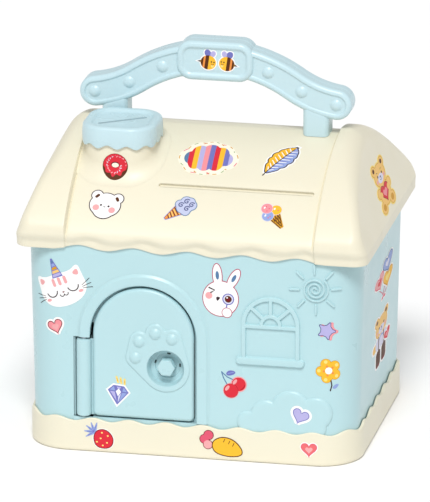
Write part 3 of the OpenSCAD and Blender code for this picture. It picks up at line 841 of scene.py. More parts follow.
def house_body():
    tools = door_cutters()
    shell = boolean(body_solid(0, BODY_LOW_Z, BODY_TOP_Z), body_solid(WALL, BODY_LOW_Z - 5, BODY_TOP_Z + 5))
    front = facing_front(0)
    jamb = prism(arch(LIP_R + 4, SILL_Z - 2), front, JAMB_BACK_Y, BODY_Y - WALL + 0.2)
    boolean(jamb, prism(arch(LIP_R, SILL_Z + 1.3), front, JAMB_BACK_Y - 5, BODY_Y + 3))
    boolean(jamb, prism(arch(DOOR_R, SILL_Z), front, REBATE_Y, BODY_Y + 3))
    pocket = block((NOTCH_X - WALL, -BODY_Y + 0.3, SILL_Z - WALL), (NOTCH_X + 10.3, -64.3, NOTCH_Z + 7.2))
    lug = block((NOTCH_X, -BODY_Y - 0.85, SILL_Z - 6.6), (NOTCH_X + 9.2, -67.2, SILL_Z - 0.02))
    for part in (shell, jamb, pocket, lug):
        for tool in tools:
            boolean(part, tool, keep=True)
    for tool in tools:
        drop(tool)
    shape = Shape(shell, jamb, pocket, lug)
    surround(shape)
    window_relief(shape)
    sun_relief(shape)
    bush_relief(shape)
    boss = [(SCREW_HOLE_R, 3.2), (BOSS_R, 3.2), (BOSS_R, 26.6), (BOSS_R - 0.4, 27), (1.9, 27),
            (SCREW_HOLE_R, 26.6), (SCREW_HOLE_R, 3.2)]
    for sx, sy in CORNERS:
        lathe(shape, boss, at(sx * BASE_BOSS[0], sy * BASE_BOSS[1]), 28)
        ear = prism(rounded(24, 22, 4, sx * 76, sy * 59.5), level, 108, 110.4)
        boolean(ear, body_solid(0.4, 90, 120), "INTERSECT")
        boolean(ear, prism(disc(sx * ROOF_BOSS[0], sy * ROOF_BOSS[1], CLEAR_HOLE_R, 24), level, 100, 120))
        shape.absorb(ear)
    piece(shape, "house_body_moulding", "root", [BLUE], "house_body", sharp=32)


# ---------- roof ----------

def band_weight(x):
    return smooth((abs(x) - BAND_X + 0.45) / 0.9)


def eave(x):
    wave = 0.5 + 0.5 * cos(2 * pi * (x - EAVE_SHIFT) / EAVE_PITCH)
    return EAVE_Z + EAVE_RISE * wave * (1 - smooth((abs(x) - 64) / 12))


def cove(x, z):
    """How far the fascia leans in under the slope's nose, deepest under the low part of each wave."""
    wave = (0.5 + 0.5 * cos(2 * pi * (x - EAVE_SHIFT - 6) / EAVE_PITCH)) ** 1.3
    end = smooth((abs(x) - 62) / 6)
    wave = wave * (1 - end) + 0.35 * end
    nose = GABLE_Z + 1.6 + 3.2 * wave
    return min(2.4, (1.5 + 0.9 * wave) * smooth((nose - z) / (5 + 2 * wave)) + 0.1 * max(0, nose - z - 3))


def slot_dip(x, angle):
    """Shallow dish round the note slot."""
    dx = max(0, abs(x - SLOT_X) - SLOT_L / 2)
    dist = hypot(dx, SLOPE_R * (angle - slope_angle(SLOT_Y)))
    return 0.4 * exp(-(dist / 2.8) ** 2)


def seam(x):
    """Fine groove at the foot of an end band."""
    return 0.7 * exp(-((abs(x) - BAND_X + 0.75) / 0.34) ** 2)


def edge_radius(side, z):
    """Radius of the roof's end edge, which is tighter at the front's shoulder and at the back's foot."""
    if side < 0:
        return ROOF_EDGE - 3.5 * smooth((z - GABLE_Z - 4) / 8) + 3.5 * smooth((z - GABLE_Z - 22) / 20)
    return 3 + (ROOF_EDGE - 3) * smooth((z - GABLE_Z) / 30)


def roof_half(x, side, turn=0, inner=False):
    """Half a cross-section from the ridge to the eave, as (y, z, distance from the gable plane).

    side is -1 at the front; turn runs from 0 to a quarter turn round the edge of the roof's end."""
    wall = ROOF_WALL if inner else 0
    band = 0 if inner else band_weight(x)
    full = SLOPE_R + BAND_RISE * band - wall - (0 if inner else seam(x))
    low = EAVE_Z - 6 if inner else eave(x)
    lip = 0 if inner else 0.6

    def span(r):
        return asin(SLOPE_Y / r), acos((low + lip - SLOPE_Z) / r)

    a0, a1 = span(full)
    nose = asin((ROOF_Y - 6 + SLOPE_Y) / full)
    angles = [a0 + (nose - a0) * i / 42 for i in range(42)] + [nose + (a1 - nose) * i / 36 for i in range(37)]
    pts = []
    for a in angles:
        edge = edge_radius(side, SLOPE_Z + full * cos(a)) - wall
        shrink = edge * (1 - cos(turn))
        b0, b1 = span(full - shrink)
        b = b0 + (a - a0) * (b1 - b0) / (a1 - a0)
        run = full - shrink - (slot_dip(x, b) if side < 0 and not inner else 0)
        y, z = run * sin(b) - SLOPE_Y, SLOPE_Z + run * cos(b)
        face = ROOF_Y - 3 - shrink if inner else ROOF_Y + BAND_PROUD * band - shrink - cove(x, z)
        if y > 20:
            # soft minimum of the slope and the fascia, so that they meet in a rounded nose
            y = (face ** -70 + y ** -70) ** (-1 / 70)
        pts.append((side * max(0, y), z, edge * (1 - sin(turn))))
    if not inner:
        y, z, end = pts[-1]
        pts += [(y - side * 0.17, low + 0.17, end), (y - side * 0.6, low, end)]
    return pts


def roof_ring(x_of, x, turn=0, inner=False):
    front, back = roof_half(x, -1, turn, inner), roof_half(x, 1, turn, inner)
    return [(x_of(z, end), y, z) for y, z, end in front[::-1] + back[1:]]


def roof_solid(inner=False):
    wall = ROOF_WALL if inner else 0

    def end_x(z, end):
        return ROOF_X - wall - max(0, z - GABLE_Z) * GABLE_LEAN - end

    start = BAND_X + 1.6
    far_x = 80
    if inner:
        core = [-35, 0, 35]
    else:
        steps = [-1.5, -1.15, -1, -0.87, -0.75, -0.63, -0.5, -0.38, -0.25, -0.1, 0.05, 0.2, 0.35, 0.5, 1]
        core = sorted([2.0 * i for i in range(-32, 33)] + [s * (BAND_X + d) for s in SIDES for d in steps])
    ends = [(lambda z, end, k=i / 4: start + k * (end_x(z, end) - start), 0)
            for i in range(0 if inner else 1, 5)]
    ends += [(end_x, radians(9 * i)) for i in range(1, 11)]
    rings = [roof_ring(lambda z, end, f=x_of: -f(z, end), -far_x, turn, inner) for x_of, turn in ends[::-1]]
    rings += [roof_ring(lambda z, end, k=x: k, x, 0, inner) for x in core]
    rings += [roof_ring(x_of, far_x, turn, inner) for x_of, turn in ends]
    shape = Shape()
    ids = shape.loft(rings)
    n = len(ids[0])
    for ring, flip in ((ids[0], False), (ids[-1], True)):
        for i in range(n // 2):
            q = list(dict.fromkeys([ring[i], ring[i + 1], ring[n - 2 - i], ring[n - 1 - i]]))
            shape.face(q if flip else q[::-1])
    return to_object(shape, "roof", closed=True)


def slot_frame(u, v, h):
    """Flat frame that touches the front slope at the note slot."""
    t = slope_angle(SLOT_Y)
    cx, cy, cz = on_slope(SLOT_X, SLOT_Y)(0, 0, 0)
    return (cx + u, cy + v * cos(t) - h * sin(t), cz + v * sin(t) + h * cos(t))


def note_slot(roof):
    """A collar under the slope, a groove with soft lips, and a slit along the groove's lower edge."""
    boolean(roof, prism(rounded(SLOT_L + 3.6, SLOT_W + 3.6, 2.6, n=6), slot_frame, -4, -1.2), "UNION")
    rows = []
    for out, h in ((0, -1.9), (0, -0.85), (0.06, -0.6), (0.3, -0.22), (0.8, 0.25), (0.8, 8)):
        loop = rounded(SLOT_L + 2 * out, SLOT_W + 2 * out, SLOT_W / 2 - 0.02 + out, n=6)
        rows.append([slot_frame(u, v, h) for u, v in loop])
    boolean(roof, solid(rows))
    slit = rounded(SLOT_L - 0.8, 1.1, 0.54, 0, 0.5 - SLOT_W / 2 + 0.1, n=4)
    boolean(roof, prism(slit, slot_frame, -8, -0.9))


def chimney_stack():
    """Square chimney with a soft fillet where it meets the slope."""
    top = CAP_LOW_Z + 2.6
    path = walk(CHIMNEY_HALF, CHIMNEY_HALF, CHIMNEY_R, 112)

    def row(out, z_of):
        points = [(CHIMNEY[0] + x + nx * out, CHIMNEY[1] + y + ny * out) for x, y, nx, ny, _ in path]
        return [(x, y, z_of(y)) for x, y in points]

    foot = row(-CHIMNEY_WALL, lambda y: slope_z(y) - 3)
    rows = [foot] + [row(out, lambda y, k=z: k) for out, z in (
        (-CHIMNEY_WALL, top - 0.4), (-CHIMNEY_WALL + 0.4, top), (-0.4, top), (0, top - 0.4))]
    for i in range(11):
        b = radians(9 * i)
        rows.append(row(CHIMNEY_FILLET * (1 - cos(b)),
                        lambda y, k=CHIMNEY_FILLET * (1 - sin(b)) - 0.03: slope_z(y) + k))
    rows += [row(CHIMNEY_FILLET + 0.3, lambda y: slope_z(y) - 0.3), foot]
    return solid(rows, ends=False)


def roof_shell():
    roof = boolean(roof_solid(), roof_solid(inner=True))
    boolean(roof, prism(rounded(33.6, 33.6, 10.8, *CHIMNEY), level, 120, 185))
    note_slot(roof)
    shape = Shape(roof, chimney_stack())
    top = slope_z(63) - ROOF_WALL
    for sx in SIDES:
        for sy in SIDES:
            boss = [(SCREW_HOLE_R, top), (SCREW_HOLE_R, 110.6), (BOSS_R - 0.1, 110.6), (BOSS_R, top)]
            lathe(shape, boss, at(sx * ROOF_BOSS[0], sy * ROOF_BOSS[1]), 28)
        boss = [(CLEAR_HOLE_R, 161), (CLEAR_HOLE_R, 154), (BOSS_R - 0.1, 154), (BOSS_R, 161)]
        lathe(shape, boss, at(sx * POST_X, 0), 28)
    piece(shape, "roof_moulding", "root", [CREAM], "roof_shell")


def chimney_cap():
    half, r = (CAP_X1 - CAP_X0) / 2, 14
    path = walk(half, half, r, 208)
    total = 8 * (half - r) + 2 * pi * r
    drips = round(total / 10.6)
    low_x = -44.2 - CHIMNEY[0]
    top = CAP_TOP_Z

    def hem(s):
        return CAP_LOW_Z + 0.45 - 0.95 * cos(2 * pi * drips * (s - low_x) / total)

    def ring(out, z_of):
        return [(CHIMNEY[0] + x + nx * out, CHIMNEY[1] + y + ny * out, z_of(s)) for x, y, nx, ny, s in path]

    def flat_rings(*steps):
        return [ring(out, lambda s, k=z: k) for out, z in steps]

    # up the inside, round the dripping hem, up the outside, over the rim and down into the dish
    rows = flat_rings((-1.6, top - 3.4))
    rows += [ring(out, lambda s, k=lift: hem(s) + k)
             for out, lift in ((-1.6, 0.3), (-1.3, 0), (-0.7, 0), (-0.25, 0.15), (0, 0.6))]
    rows += flat_rings((0.1, CAP_LOW_Z + 4), (0.05, top - 4.5), (-0.15, top - 2.6))
    rows += flat_rings(*[(-0.15 - 2.2 * (1 - cos(radians(b))), top - 2.2 + 2.2 * sin(radians(b)))
                         for b in range(15, 91, 15)])
    rows += flat_rings((-3.4, top), (-4.3, top - 0.08), (-5.0, top - 0.45), (-5.5, top - 1.0),
                       (-6.0, top - 1.32), (-6.8, top - 1.45))
    cap = solid(rows)
    length, width, corner = COIN_SLOT
    slot = moved(rounded(length, width, corner, n=6), CHIMNEY, COIN_SLOT_TURN)
    boolean(cap, prism(slot, level, top - 12, top + 5))
    # painted light: the cap takes the lighter copy of the blue plastic
    piece(Shape(cap), "chimney_cap_moulding", "root", [BLUE_PAINTED_BRIGHTER], "chimney_cap")


# ---------- handle ----------

def arm_centre():
    """Centre line of both arms from the left tip to the right, as (x, z, nx, nz)."""
    t = radians(ARM_TURN)
    far_x, far_z = (ARM_R1 + ARM_R2) * sin(t), ARM_Z1 + (ARM_R1 + ARM_R2) * cos(t)
    right = []
    for i in range(31):
        a = t * i / 30
        right.append((ARM_R1 * sin(a), ARM_Z1 + ARM_R1 * cos(a), sin(a), cos(a)))
    for i in range(1, 25):
        a = t + (radians(ARM_END) - t) * i / 24
        right.append((far_x - ARM_R2 * sin(a), far_z - ARM_R2 * cos(a), sin(a), cos(a)))
    return [(-x, z, -nx, nz) for x, z, nx, nz in right[:0:-1]] + right


def arm_outline():
    line = arm_centre()
    upper = [(x + nx * ARM_W, z + nz * ARM_W) for x, z, nx, nz in line]
    lower = [(x - nx * ARM_W, z - nz * ARM_W) for x, z, nx, nz in line]

    def tip(x, z, nx, nz, back):
        turn = degrees(atan2(nz, nx)) - back
        return arc(x, z, ARM_W, turn, turn + 180, 22)[1:-1]

    return lower + tip(*line[-1], 180) + upper[::-1] + tip(*line[0], 0)


def arm_z(x):
    return min(arm_centre(), key=lambda p: abs(p[0] - x))[1]


def round_edge(flat, depth, r, n=5):
    """(outset, height) steps of a rounded edge of radius r that ends flat at a height."""
    turns = [radians(90 * i / n) for i in range(n + 1)]
    return [(-r * (1 - cos(a)), depth - r + r * sin(a)) for a in turns] + flat


def dome(shape, place, u0, v0, foot, r, rise):
    """Low dome with a tiny fillet at its foot."""
    ball = (r * r + rise * rise) / (2 * rise)
    steps = [(r + 0.35, foot - 0.02), (r + 0.1, foot + 0.06)]
    top = asin(min(1, r / ball))
    for i in range(9):
        a = top * (1 - i / 8)
        steps.append((ball * sin(a), foot + rise - ball * (1 - cos(a)) + 0.08 * (1 - i / 8)))
    lathe(shape, steps, at(u0, v0, place), 32)


def post(side):
    """Handle post that stands on the ridge: sizes with heights from its foot to the inside of the arm."""
    def row(w, d, r, z_of):
        return [(x, y, z_of(x, y)) for x, y in rounded(w, d, r, side * POST_X, 0, n=6)]

    rows = [row(14 + 2 * out, 15 + 2 * out, 3 + out, lambda x, y, k=lift: slope_z(y) + k)
            for out, lift in ((-0.5, 0.03), (-0.12, 0.2), (0, 0.6))]
    rows += [row(w, d, r, lambda x, y, k=sink: arm_z(abs(x)) - k)
             for w, d, r, sink in ((14, 15, 3, ARM_W + 0.9), (14, 13.4, 3, ARM_W - 0.6), (12, 11, 2.5, 2))]
    return solid(rows)


def handle_half(front):
    shape = Shape()
    place = facing_front(0) if front else facing_back(0)
    foot = [(-0.25, 0), (0, 0.28)]
    face_z = HANDLE_T - 0.9
    edge = foot + round_edge([], HANDLE_T, 2.2)
    edge += [(-2.75, HANDLE_T - 0.12), (-3.05, HANDLE_T - 0.5), (-3.35, HANDLE_T - 0.8), (-3.9, face_z)]
    centres = [] if front else [(s * x, arm_z(x)) for s in SIDES for x in (STUD_X[0], STUD_X[2])]
    head_r, head_z = 3.2, HANDLE_T - 2.4
    hole_edge = [(0, head_z), (0, HANDLE_T - 1.1), (-0.2, face_z)]
    plate(shape, arm_outline(), place, edge, [disc(*c, head_r, 28) for c in centres], hole_edge)
    for c in centres:
        lathe(shape, [(head_r, head_z), (CLEAR_HOLE_R, head_z), (CLEAR_HOLE_R, 0.5)], at(*c, place), 28)
    t = PLAQUE_T
    sunk = [(-2.9, t - 0.05), (-3.5, t - 0.35), (-3.95, t - 0.8), (-4.4, t - 1.0), (-5, t - 1.05)]
    rim = foot + round_edge(sunk if front else [(-2.9, t), (-3.4, t)], t, 2.4)
    plate(shape, rounded(*PLAQUE, 0, PLAQUE_Z, n=12), place, rim)
    if front:
        for s in SIDES:
            for x in STUD_X:
                dome(shape, place, s * x, arm_z(x), face_z, 3.2, 1.35)
            shape.absorb(post(s))
    name = "handle_front" if front else "handle_back"
    # painted light: the handle takes the lighter copy of the blue plastic
    piece(shape, name + "_moulding", "root", [BLUE_PAINTED_BRIGHTER], name)


# ---------- door and lock ----------

def paw_outline():
    pad = (LOCK[0], LOCK[1], 13)
    toes = [(x, z, 5.3) for x, z in TOES]
    circles = chain(toes[0], pad) + chain(toes[3], pad) + chain(toes[0], toes[1], 4) + toes + [(-18, 58, 8)]
    loop = union(circles, (-17, 56), 220)
    for _ in range(3):
        nexts = loop[1:] + loop[:1]
        loop = [tuple(0.25 * p + 0.5 * q + 0.25 * s for p, q, s in zip(loop[i - 1], loop[i], nexts[i]))
                for i in range(len(loop))]
    return loop


def key_well(shape, place):
    """The paw's raised pad with the round well of the lock in it, and the cup behind the well."""
    front, back, floor = -PANEL_Y, -PANEL_BACK_Y, -WELL_Y
    top, wall_foot, ring_floor = front + PAW_H, front - 4.9, floor - 0.6
    soft = [(0.4, front - 0.03), (0.15, front + 0.08), (0, front + 0.3), (-0.15, front + 0.55),
            (-0.45, top - 0.06), (-0.9, top)]
    rim = [(0.7, wall_foot), (0.45, front - 3), (0.1, top - 0.75), (0, top - 0.45), (-0.16, top - 0.16),
           (-0.55, top)]
    plate(shape, paw_outline(), place, soft, [disc(*LOCK, WELL_R, 64)], rim)
    lathe(shape, [(WELL_R - 0.7, wall_foot), (WELL_R - 1.0, floor + 0.08), (WELL_R - 1.5, floor),
                  (6.9, floor), (6.75, floor - 0.2), (6.7, ring_floor), (SPINDLE_HOLE_R, ring_floor),
                  (SPINDLE_HOLE_R, -CUP_Y)],
          at(*LOCK, place), 64)
    # Painted shade: three thin dark patches laid flat on the well's floor in place of small slots round the
    # hexagon
    for turn in (4, 84, 164):
        hole_shade = moved(rounded(0.9, 2.0, 0.3, 6.75, 0, n=3), LOCK, turn)
        plate(shape, hole_shade, place, [(0, floor + 0.01), (-0.1, floor + 0.03)], mark=1)
    lathe(shape, [(CUP_R, back), (CUP_R, -CUP_Y + 0.4), (CUP_R - 0.4, -CUP_Y), (SPINDLE_HOLE_R, -CUP_Y)],
          at(*LOCK, place), 64)
    for x, z in TOES:
        dome(shape, place, x, z, top, 3.15, 1.45)


def hinge_barrel(shape):
    """Barrel on the pin, and the web that joins it to the panel."""
    web_front, web_back = PANEL_Y + 2.4, PANEL_BACK_Y - 0.1
    low, high, r = PANEL_LOW_Z, BARREL_TOP_Z, BARREL_R
    lathe(shape, [(0, low), (r - 1.2, low), (r - 0.4, low + 0.3), (r, low + 1.1), (r, high - 1.1),
                  (r - 0.4, high - 0.3), (r - 1.2, high), (0, high)], at(*HINGE), 56)
    shape.absorb(block((HINGE[0], web_front, low + 0.2), (DOOR_X - PANEL_R + 1, web_back, high - 0.2)))


def door_panel():
    shape = Shape()
    place = facing_front(0)
    front, back = -PANEL_Y, -PANEL_BACK_Y
    slab = arch(PANEL_R, PANEL_LOW_Z, 3)
    edge = [(-0.3, back), (0, back + 0.3)] + round_edge([(-2.8, front)], front, 2.2, 7)
    plate(shape, slab, place, edge, [disc(*LOCK, CUP_R - 0.8, 48)], [(0, back), (0, front)])
    back_loop = [(-u, v) for u, v in offset(slab, -0.3)][::-1]
    flat = [(0, -back), (0, -back)]
    plate(shape, back_loop, facing_back(0), flat, [disc(-LOCK[0], LOCK[1], CUP_R, 40)], flat)
    key_well(shape, place)
    hinge_barrel(shape)
    boss_back = 68.2
    for x, z in ((-46, 30), (-4.4, 30), (-46, 66), (-25.2, 84)):
        lathe(shape, [(3.4, back), (3.4, boss_back), (SCREW_HOLE_R, boss_back), (SCREW_HOLE_R, back)],
              at(x, z, place), 24)
    # the second material is the painted shade on the well's floor
    piece(shape, "door_panel_moulding", "door", [BLUE, PAINTED_SHADE], "door_panel")


def lock_spindle():
    """Hexagonal key head on a round spindle with a square end."""
    shape = Shape()
    place = facing_front(0)
    cx, cz = LOCK
    r = (HEX_Z1 - HEX_Z0 - 0.3) / sqrt(3)
    corner = [(cx + r * cos(radians(60 * i)), cz + r * sin(radians(60 * i))) for i in range(6)]
    hexagon = []
    for i, (bx, by) in enumerate(corner):
        (ax, ay), (dx, dy) = corner[i - 1], corner[(i + 1) % 6]
        hexagon += [(bx + (ax - bx) * p + (dx - bx) * q, by + (ay - by) * p + (dy - by) * q)
                    for p, q in ((0.07, 0), (0.012, 0.012), (0, 0.07))]
    low, top = -WELL_Y + 0.1, 72.4
    plate(shape, hexagon, place, [(-1.5, low), (0, low), (0, top - 0.45), (-0.12, top - 0.14), (-0.45, top),
                                  (-0.9, top)])
    lathe(shape, [(2.95, low), (2.95, 64.5)], at(cx, cz, place), 32)
    plate(shape, rounded(4.2, 4.2, 0.3, -cx, cz, n=3), facing_back(0),
          [(0, -64.6), (0, -62.8), (-0.2, -62.55)])
    piece(shape, "lock_spindle_moulding", "lock", [BLUE], "lock_spindle")


# ---------- stickers ----------

def sticker(shape, place, regions, step, marks):
    """One printed sheet.

    regions lists (ink, outline) from the bottom up; each triangle takes the top one's ink."""
    boxes = []
    for _, loop in regions:
        us, vs = [p[0] for p in loop], [p[1] for p in loop]
        boxes.append((min(us), max(us), min(vs), max(vs)))

    def top_ink(p):
        for (name, loop), (u0, u1, v0, v1) in zip(reversed(regions), reversed(boxes)):
            if u0 <= p[0] <= u1 and v0 <= p[1] <= v1 and inside(p, loop):
                return name
        return None

    verts, faces = triangles([split(loop, step) for _, loop in regions], step, top_ink)
    ids = shape.ring([place(u, v, FILM) for u, v in verts])
    foot, border = {}, {}
    for f, name in faces:
        if name not in marks:
            marks.append(name)
        shape.face([ids[i] for i in f], marks.index(name))
        for a, b in zip(f, f[1:] + f[:1]):
            if (b, a) in border:
                del border[(b, a)]
            else:
                border[(a, b)] = name
    for (a, b), name in border.items():
        for k in (a, b):
            if k not in foot:
                foot[k] = shape.ring([place(verts[k][0], verts[k][1], 0)])[0]
        shape.face((ids[b], ids[a], foot[a], foot[b]), marks.index(name))


def sheet_set(name, body, node, entries):
    """A piece made of several stickers: (place, regions, step) each."""
    shape, marks = Shape(), []
    for place, regions, step in entries:
        sticker(shape, place, regions, step, marks)
    return piece(shape, name, body, [ink(m) for m in marks], node, sharp=30, weighted=False)


def layers(*rows):
    """Printed areas from the bottom up, out of rows (ink, outset, outline, ...)."""
    return [(name, offset(loop, out) if out else loop) for name, out, *loops in rows for loop in loops]


def art(parts, turn=0, scale=1, flip=False, shift=(0, 0)):
    return [(name, moved(loop, shift, turn, scale, flip)) for name, loop in parts]


def stretched(parts, su, sv):
    return [(name, [(u * su, v * sv) for u, v in loop]) for name, loop in parts]


def smile(cx, cy, r, a0, a1, w):
    return stroke(arc(cx, cy, r, a0, a1, 8), w)


def twins(u, v, *rest):
    """Two discs, left and right of the middle line."""
    return [disc(s * u, v, *rest) for s in SIDES]


def dots(centres, *rest):
    return [disc(u, v, *rest) for u, v in centres]


def wheel(r, start, *rest):
    """Five discs round the middle."""
    return [disc(r * cos(radians(start + 72 * i)), r * sin(radians(start + 72 * i)), *rest) for i in range(5)]


def clip_between(loop, u0, u1, lean):
    """The part of an outline between two leaning lines."""
    for sign, lim in ((1, u0), (-1, u1)):
        out = []
        for i in range(len(loop)):
            a, b = loop[i - 1], loop[i]
            fa, fb = sign * (a[0] - lean * a[1] - lim), sign * (b[0] - lean * b[1] - lim)
            if (fa >= 0) != (fb >= 0):
                t = fa / (fa - fb)
                out.append((a[0] + (b[0] - a[0]) * t, a[1] + (b[1] - a[1]) * t))
            if fb >= 0:
                out.append(b)
        loop = out
    return loop


def heart_sticker(width, fill, edge, border, glint, turn):
    base = heart(width)
    rows = [("white", border, base), (edge, 0, base), (fill, -0.45, base)]
    if glint:
        rows.append((glint, 0, moved(heart(width * 0.45), (0, -0.2))))
    return art(layers(*rows), turn)


def cat_party():
    """Sleeping cat in a party hat: a plain generic design."""
    head = soften([(-12.6, -2.5), (-12.2, 3.2), (-12.8, 9.4), (-8.2, 6.8), (0, 7.4), (7.6, 6.8), (12.4, 9.8),
                   (12.4, 3.4), (13.2, -3.0), (8.6, -8.2), (0, -10), (-8.6, -8.0)], 3)
    ears = [soften([(s * 11.6, 8.0), (s * 11.4, 3.4), (s * 7.4, 5.6)][::s], 2) for s in SIDES]
    hat = [(-2.7, 6.2), (2.7, 6.2), (0.25, 16), (-0.25, 16)]
    rows = [("white", 0.5, head), ("blush", 0, *ears), ("purple", 0.3, hat)]
    for i, colour in enumerate(["lilac", "tan", "gold", "sky", "slate"]):
        v0, v1 = 6.4 + 1.85 * i, 6.4 + 1.85 * i + 1.4
        k0, k1 = 2.6 * (1 - (v0 - 6.2) / 10), 2.6 * (1 - (v1 - 6.2) / 10)
        rows.append((colour, 0, [(-k0, v0), (k0, v0 + 0.25), (k1, v1 + 0.25), (-k1, v1)]))
    rows.append(("blush", 0, *[rounded(1.7, 4.4, 0.8, u, 3.6, n=4) for u in (-3.2, 0, 3.2)]))
    for s in SIDES:
        rows += [("ink", 0, smile(s * 6.0, -0.6, 3.0, 190, 350, 0.6)),
                 ("blush", 0, disc(s * 9.2, -4.6, 1.4, 16, 0.55))]
        for k in (-1, 0, 1):
            whisker = [(s * 10.8, -2.8 + k * 0.9), (s * 13.6, -2.4 + k * 1.7), (s * 15.8, -2.2 + k * 2.5)]
            rows.append(("ink", 0, stroke(whisker, 0.3)))
    rows += [("dark_red", 0, soften([(-0.9, -2.1), (0, -3.1), (0.9, -2.1)], 1)),
             ("ink", 0, smile(-1.1, -3.4, 1.15, 180, 350, 0.5), smile(1.1, -3.4, 1.15, 190, 360, 0.5))]
    return art(layers(*rows), 22, 1.02)


def bunny():
    """Winking rabbit with a reading glass: a plain generic design."""
    head, paw = disc(0, 0, 9.4, 56, 1.02), disc(3.4, -7.6, 2.5, 26)
    ears = [moved(disc(0, 5.4, 2.4, 30, 2.7), (-1.4, 7.2), 4),
            moved(disc(0, 5, 2.4, 30, 2.5), (4.6, 6.8), -28)]
    inner = [moved(disc(0, 5.6, 0.95, 20, 2.5), (-1.4, 7.2), 4),
             moved(disc(0, 5.4, 0.95, 20, 2.4), (4.6, 6.8), -28)]
    return layers(
        ("crimson", 0.4, *ears, head), ("white", 0, *ears, head), ("slate", 0, *inner),
        ("blush", 0, disc(-6.3, 1.4, 1.9, 20)),
        ("ink", 0, stroke([(-6.2, 5.8), (-3.2, 4.5), (-5.2, 3.1)], 0.8)),
        ("purple", 0, disc(4.1, -0.1, 3.2, 30)), ("pearl", 0, disc(4.1, -0.1, 2.6, 26)),
        ("brown", 0, disc(4.1, -0.1, 1.9, 22)), ("dark_red", 0, disc(4.1, -0.3, 1.1, 16)),
        ("white", 0, disc(3.5, 0.7, 0.45, 10)),
        ("ink", 0, soften([(-2.6, 1.0), (-0.1, 0.9), (-0.8, -0.6), (-2.0, -1.6)], 1)),
        ("purple", 0, stroke([(3.4, -3.2), (2.9, -5.8)], 0.7)), ("crimson", 0.35, paw), ("white", 0, paw))


def cherries():
    a, b = disc(3.7, 0.6, 3.8, 34), disc(-0.5, -3.2, 3.8, 34)
    leaf_loop = soften([(-3.4, 6.2), (-1.8, 8.0), (1.0, 8.0), (2.2, 6.8), (0.2, 5.4), (-2.2, 5.0)], 2)
    stems = [stroke([(-5.6, 7.0), (-4.6, 3.8), (-2.2, -0.6)], 0.45),
             stroke([(-5.6, 7.0), (-2.4, 4.2), (1.6, 2.6)], 0.45)]
    return layers(
        ("blush", 0.55, a, b), ("slate", 0, *stems), ("red", 0, a), ("dark_red", 0.15, b), ("red", 0, b),
        ("purple", 0, leaf_loop), ("blush", 0, *dots([(1.6, 1.8), (-2.5, -1.9)], 0.85, 14, 2.0, -35)),
        ("dark_red", 0, stroke(arc(3.7, 0.6, 3.1, 290, 350, 6), 0.3)),
        ("sky", 0, stroke([(-2.2, 6.2), (1.0, 7.2)], 0.3)))


def star_sticker():
    top = soften(star(5.9, 0.46, 5, 66), 1)
    back = moved(top, (1.1, -0.2))
    return layers(("pink", 0.2, back), ("blush", -0.4, back), ("navy", 0.05, top), ("lilac", -0.3, top))


def flower():
    petals, middle = wheel(4.0, 40, 2.7, 24), disc(0, 0, 3.4, 24)
    leaf_loop = soften([(1.9, -9.6), (3.4, -7.8), (5.8, -7.6), (4.6, -9.6), (3.0, -10.4)], 2)
    return layers(
        ("gold", 0.25, *petals), ("yellow", 0, *petals, middle),
        ("light_yellow", 0, *wheel(5.2, 36, 0.95, 14)), ("orange", 0, *wheel(2.6, 40, 0.7, 12)),
        ("white", 0, disc(0, 0, 1.9, 24)), ("ink", 0, stroke([(1.2, -5.5), (1.7, -8.2), (0.9, -11.2)], 0.6)),
        ("sky", 0, leaf_loop))


def gem():
    outline = [(-5.4, 1.8), (-2.6, 4.8), (2.9, 4.8), (5.6, 1.8), (0.2, -5.6)]
    stone = layers(
        ("white", 0.8, outline), ("purple", 0, outline), ("sky", 0, [(-4.5, 1.9), (-2.4, 4.2), (-1.6, 1.9)]),
        ("lilac", 0, [(-1.0, 4.2), (1.4, 4.2), (0.3, 2.2)]), ("sky", 0, [(2.7, 4.2), (4.7, 1.9), (2.2, 1.9)]),
        ("white", 0, [(-1.2, 1.6), (0.2, 3.2), (1.6, 1.6), (0.2, -1.0)]),
        ("lilac", 0, [(-4.2, 1.3), (-1.7, 1.3), (-0.2, -3.6)]),
        ("pearl", 0, [(0.4, -1.2), (0.5, -4.4), (1.8, 1.2)]),
        ("sky", 0, [(2.3, 1.3), (4.6, 1.3), (0.9, -3.8)]))
    rays = [stroke([(0.2 + 1.7 * i, 6.6 - 0.5 * i), (-0.6 + 2.1 * i, 9.4 - 0.6 * i)], 1.1) for i in range(3)]
    cores = [stroke([(0.0 + 1.8 * i, 7.2 - 0.5 * i), (-0.4 + 2.0 * i, 8.8 - 0.6 * i)], 0.3) for i in range(3)]
    return art(stone, -6) + layers(("light_yellow", 0, *rays), ("gold", 0, *cores))


def white_bear():
    head = union([(0, 1.2, 6.6), (-1.9, 0.6, 6.3), (1.9, 0.6, 6.3), (0, -1.2, 6.2)], (0, 0), 64)
    ears = twins(5.7, 5.6, 2.9, 24)
    rows = [("ink", 0.5, *ears, head), ("white", 0, *ears, head)]
    for s in SIDES:
        rows += [("brown", 0, moved(rounded(1.6, 2.9, 0.7, n=4), (s * 5.5, 5.2), s * 35)),
                 ("blush", 0, disc(s * 4.4, -1.8, 1.8, 20)), ("ink", 0, disc(s * 2.1, 0.1, 0.6, 12))]
    rows.append(("ink", 0, stroke([(-0.4, -0.6), (0.4, -0.6)], 0.45)))
    return art(layers(*rows), -8)


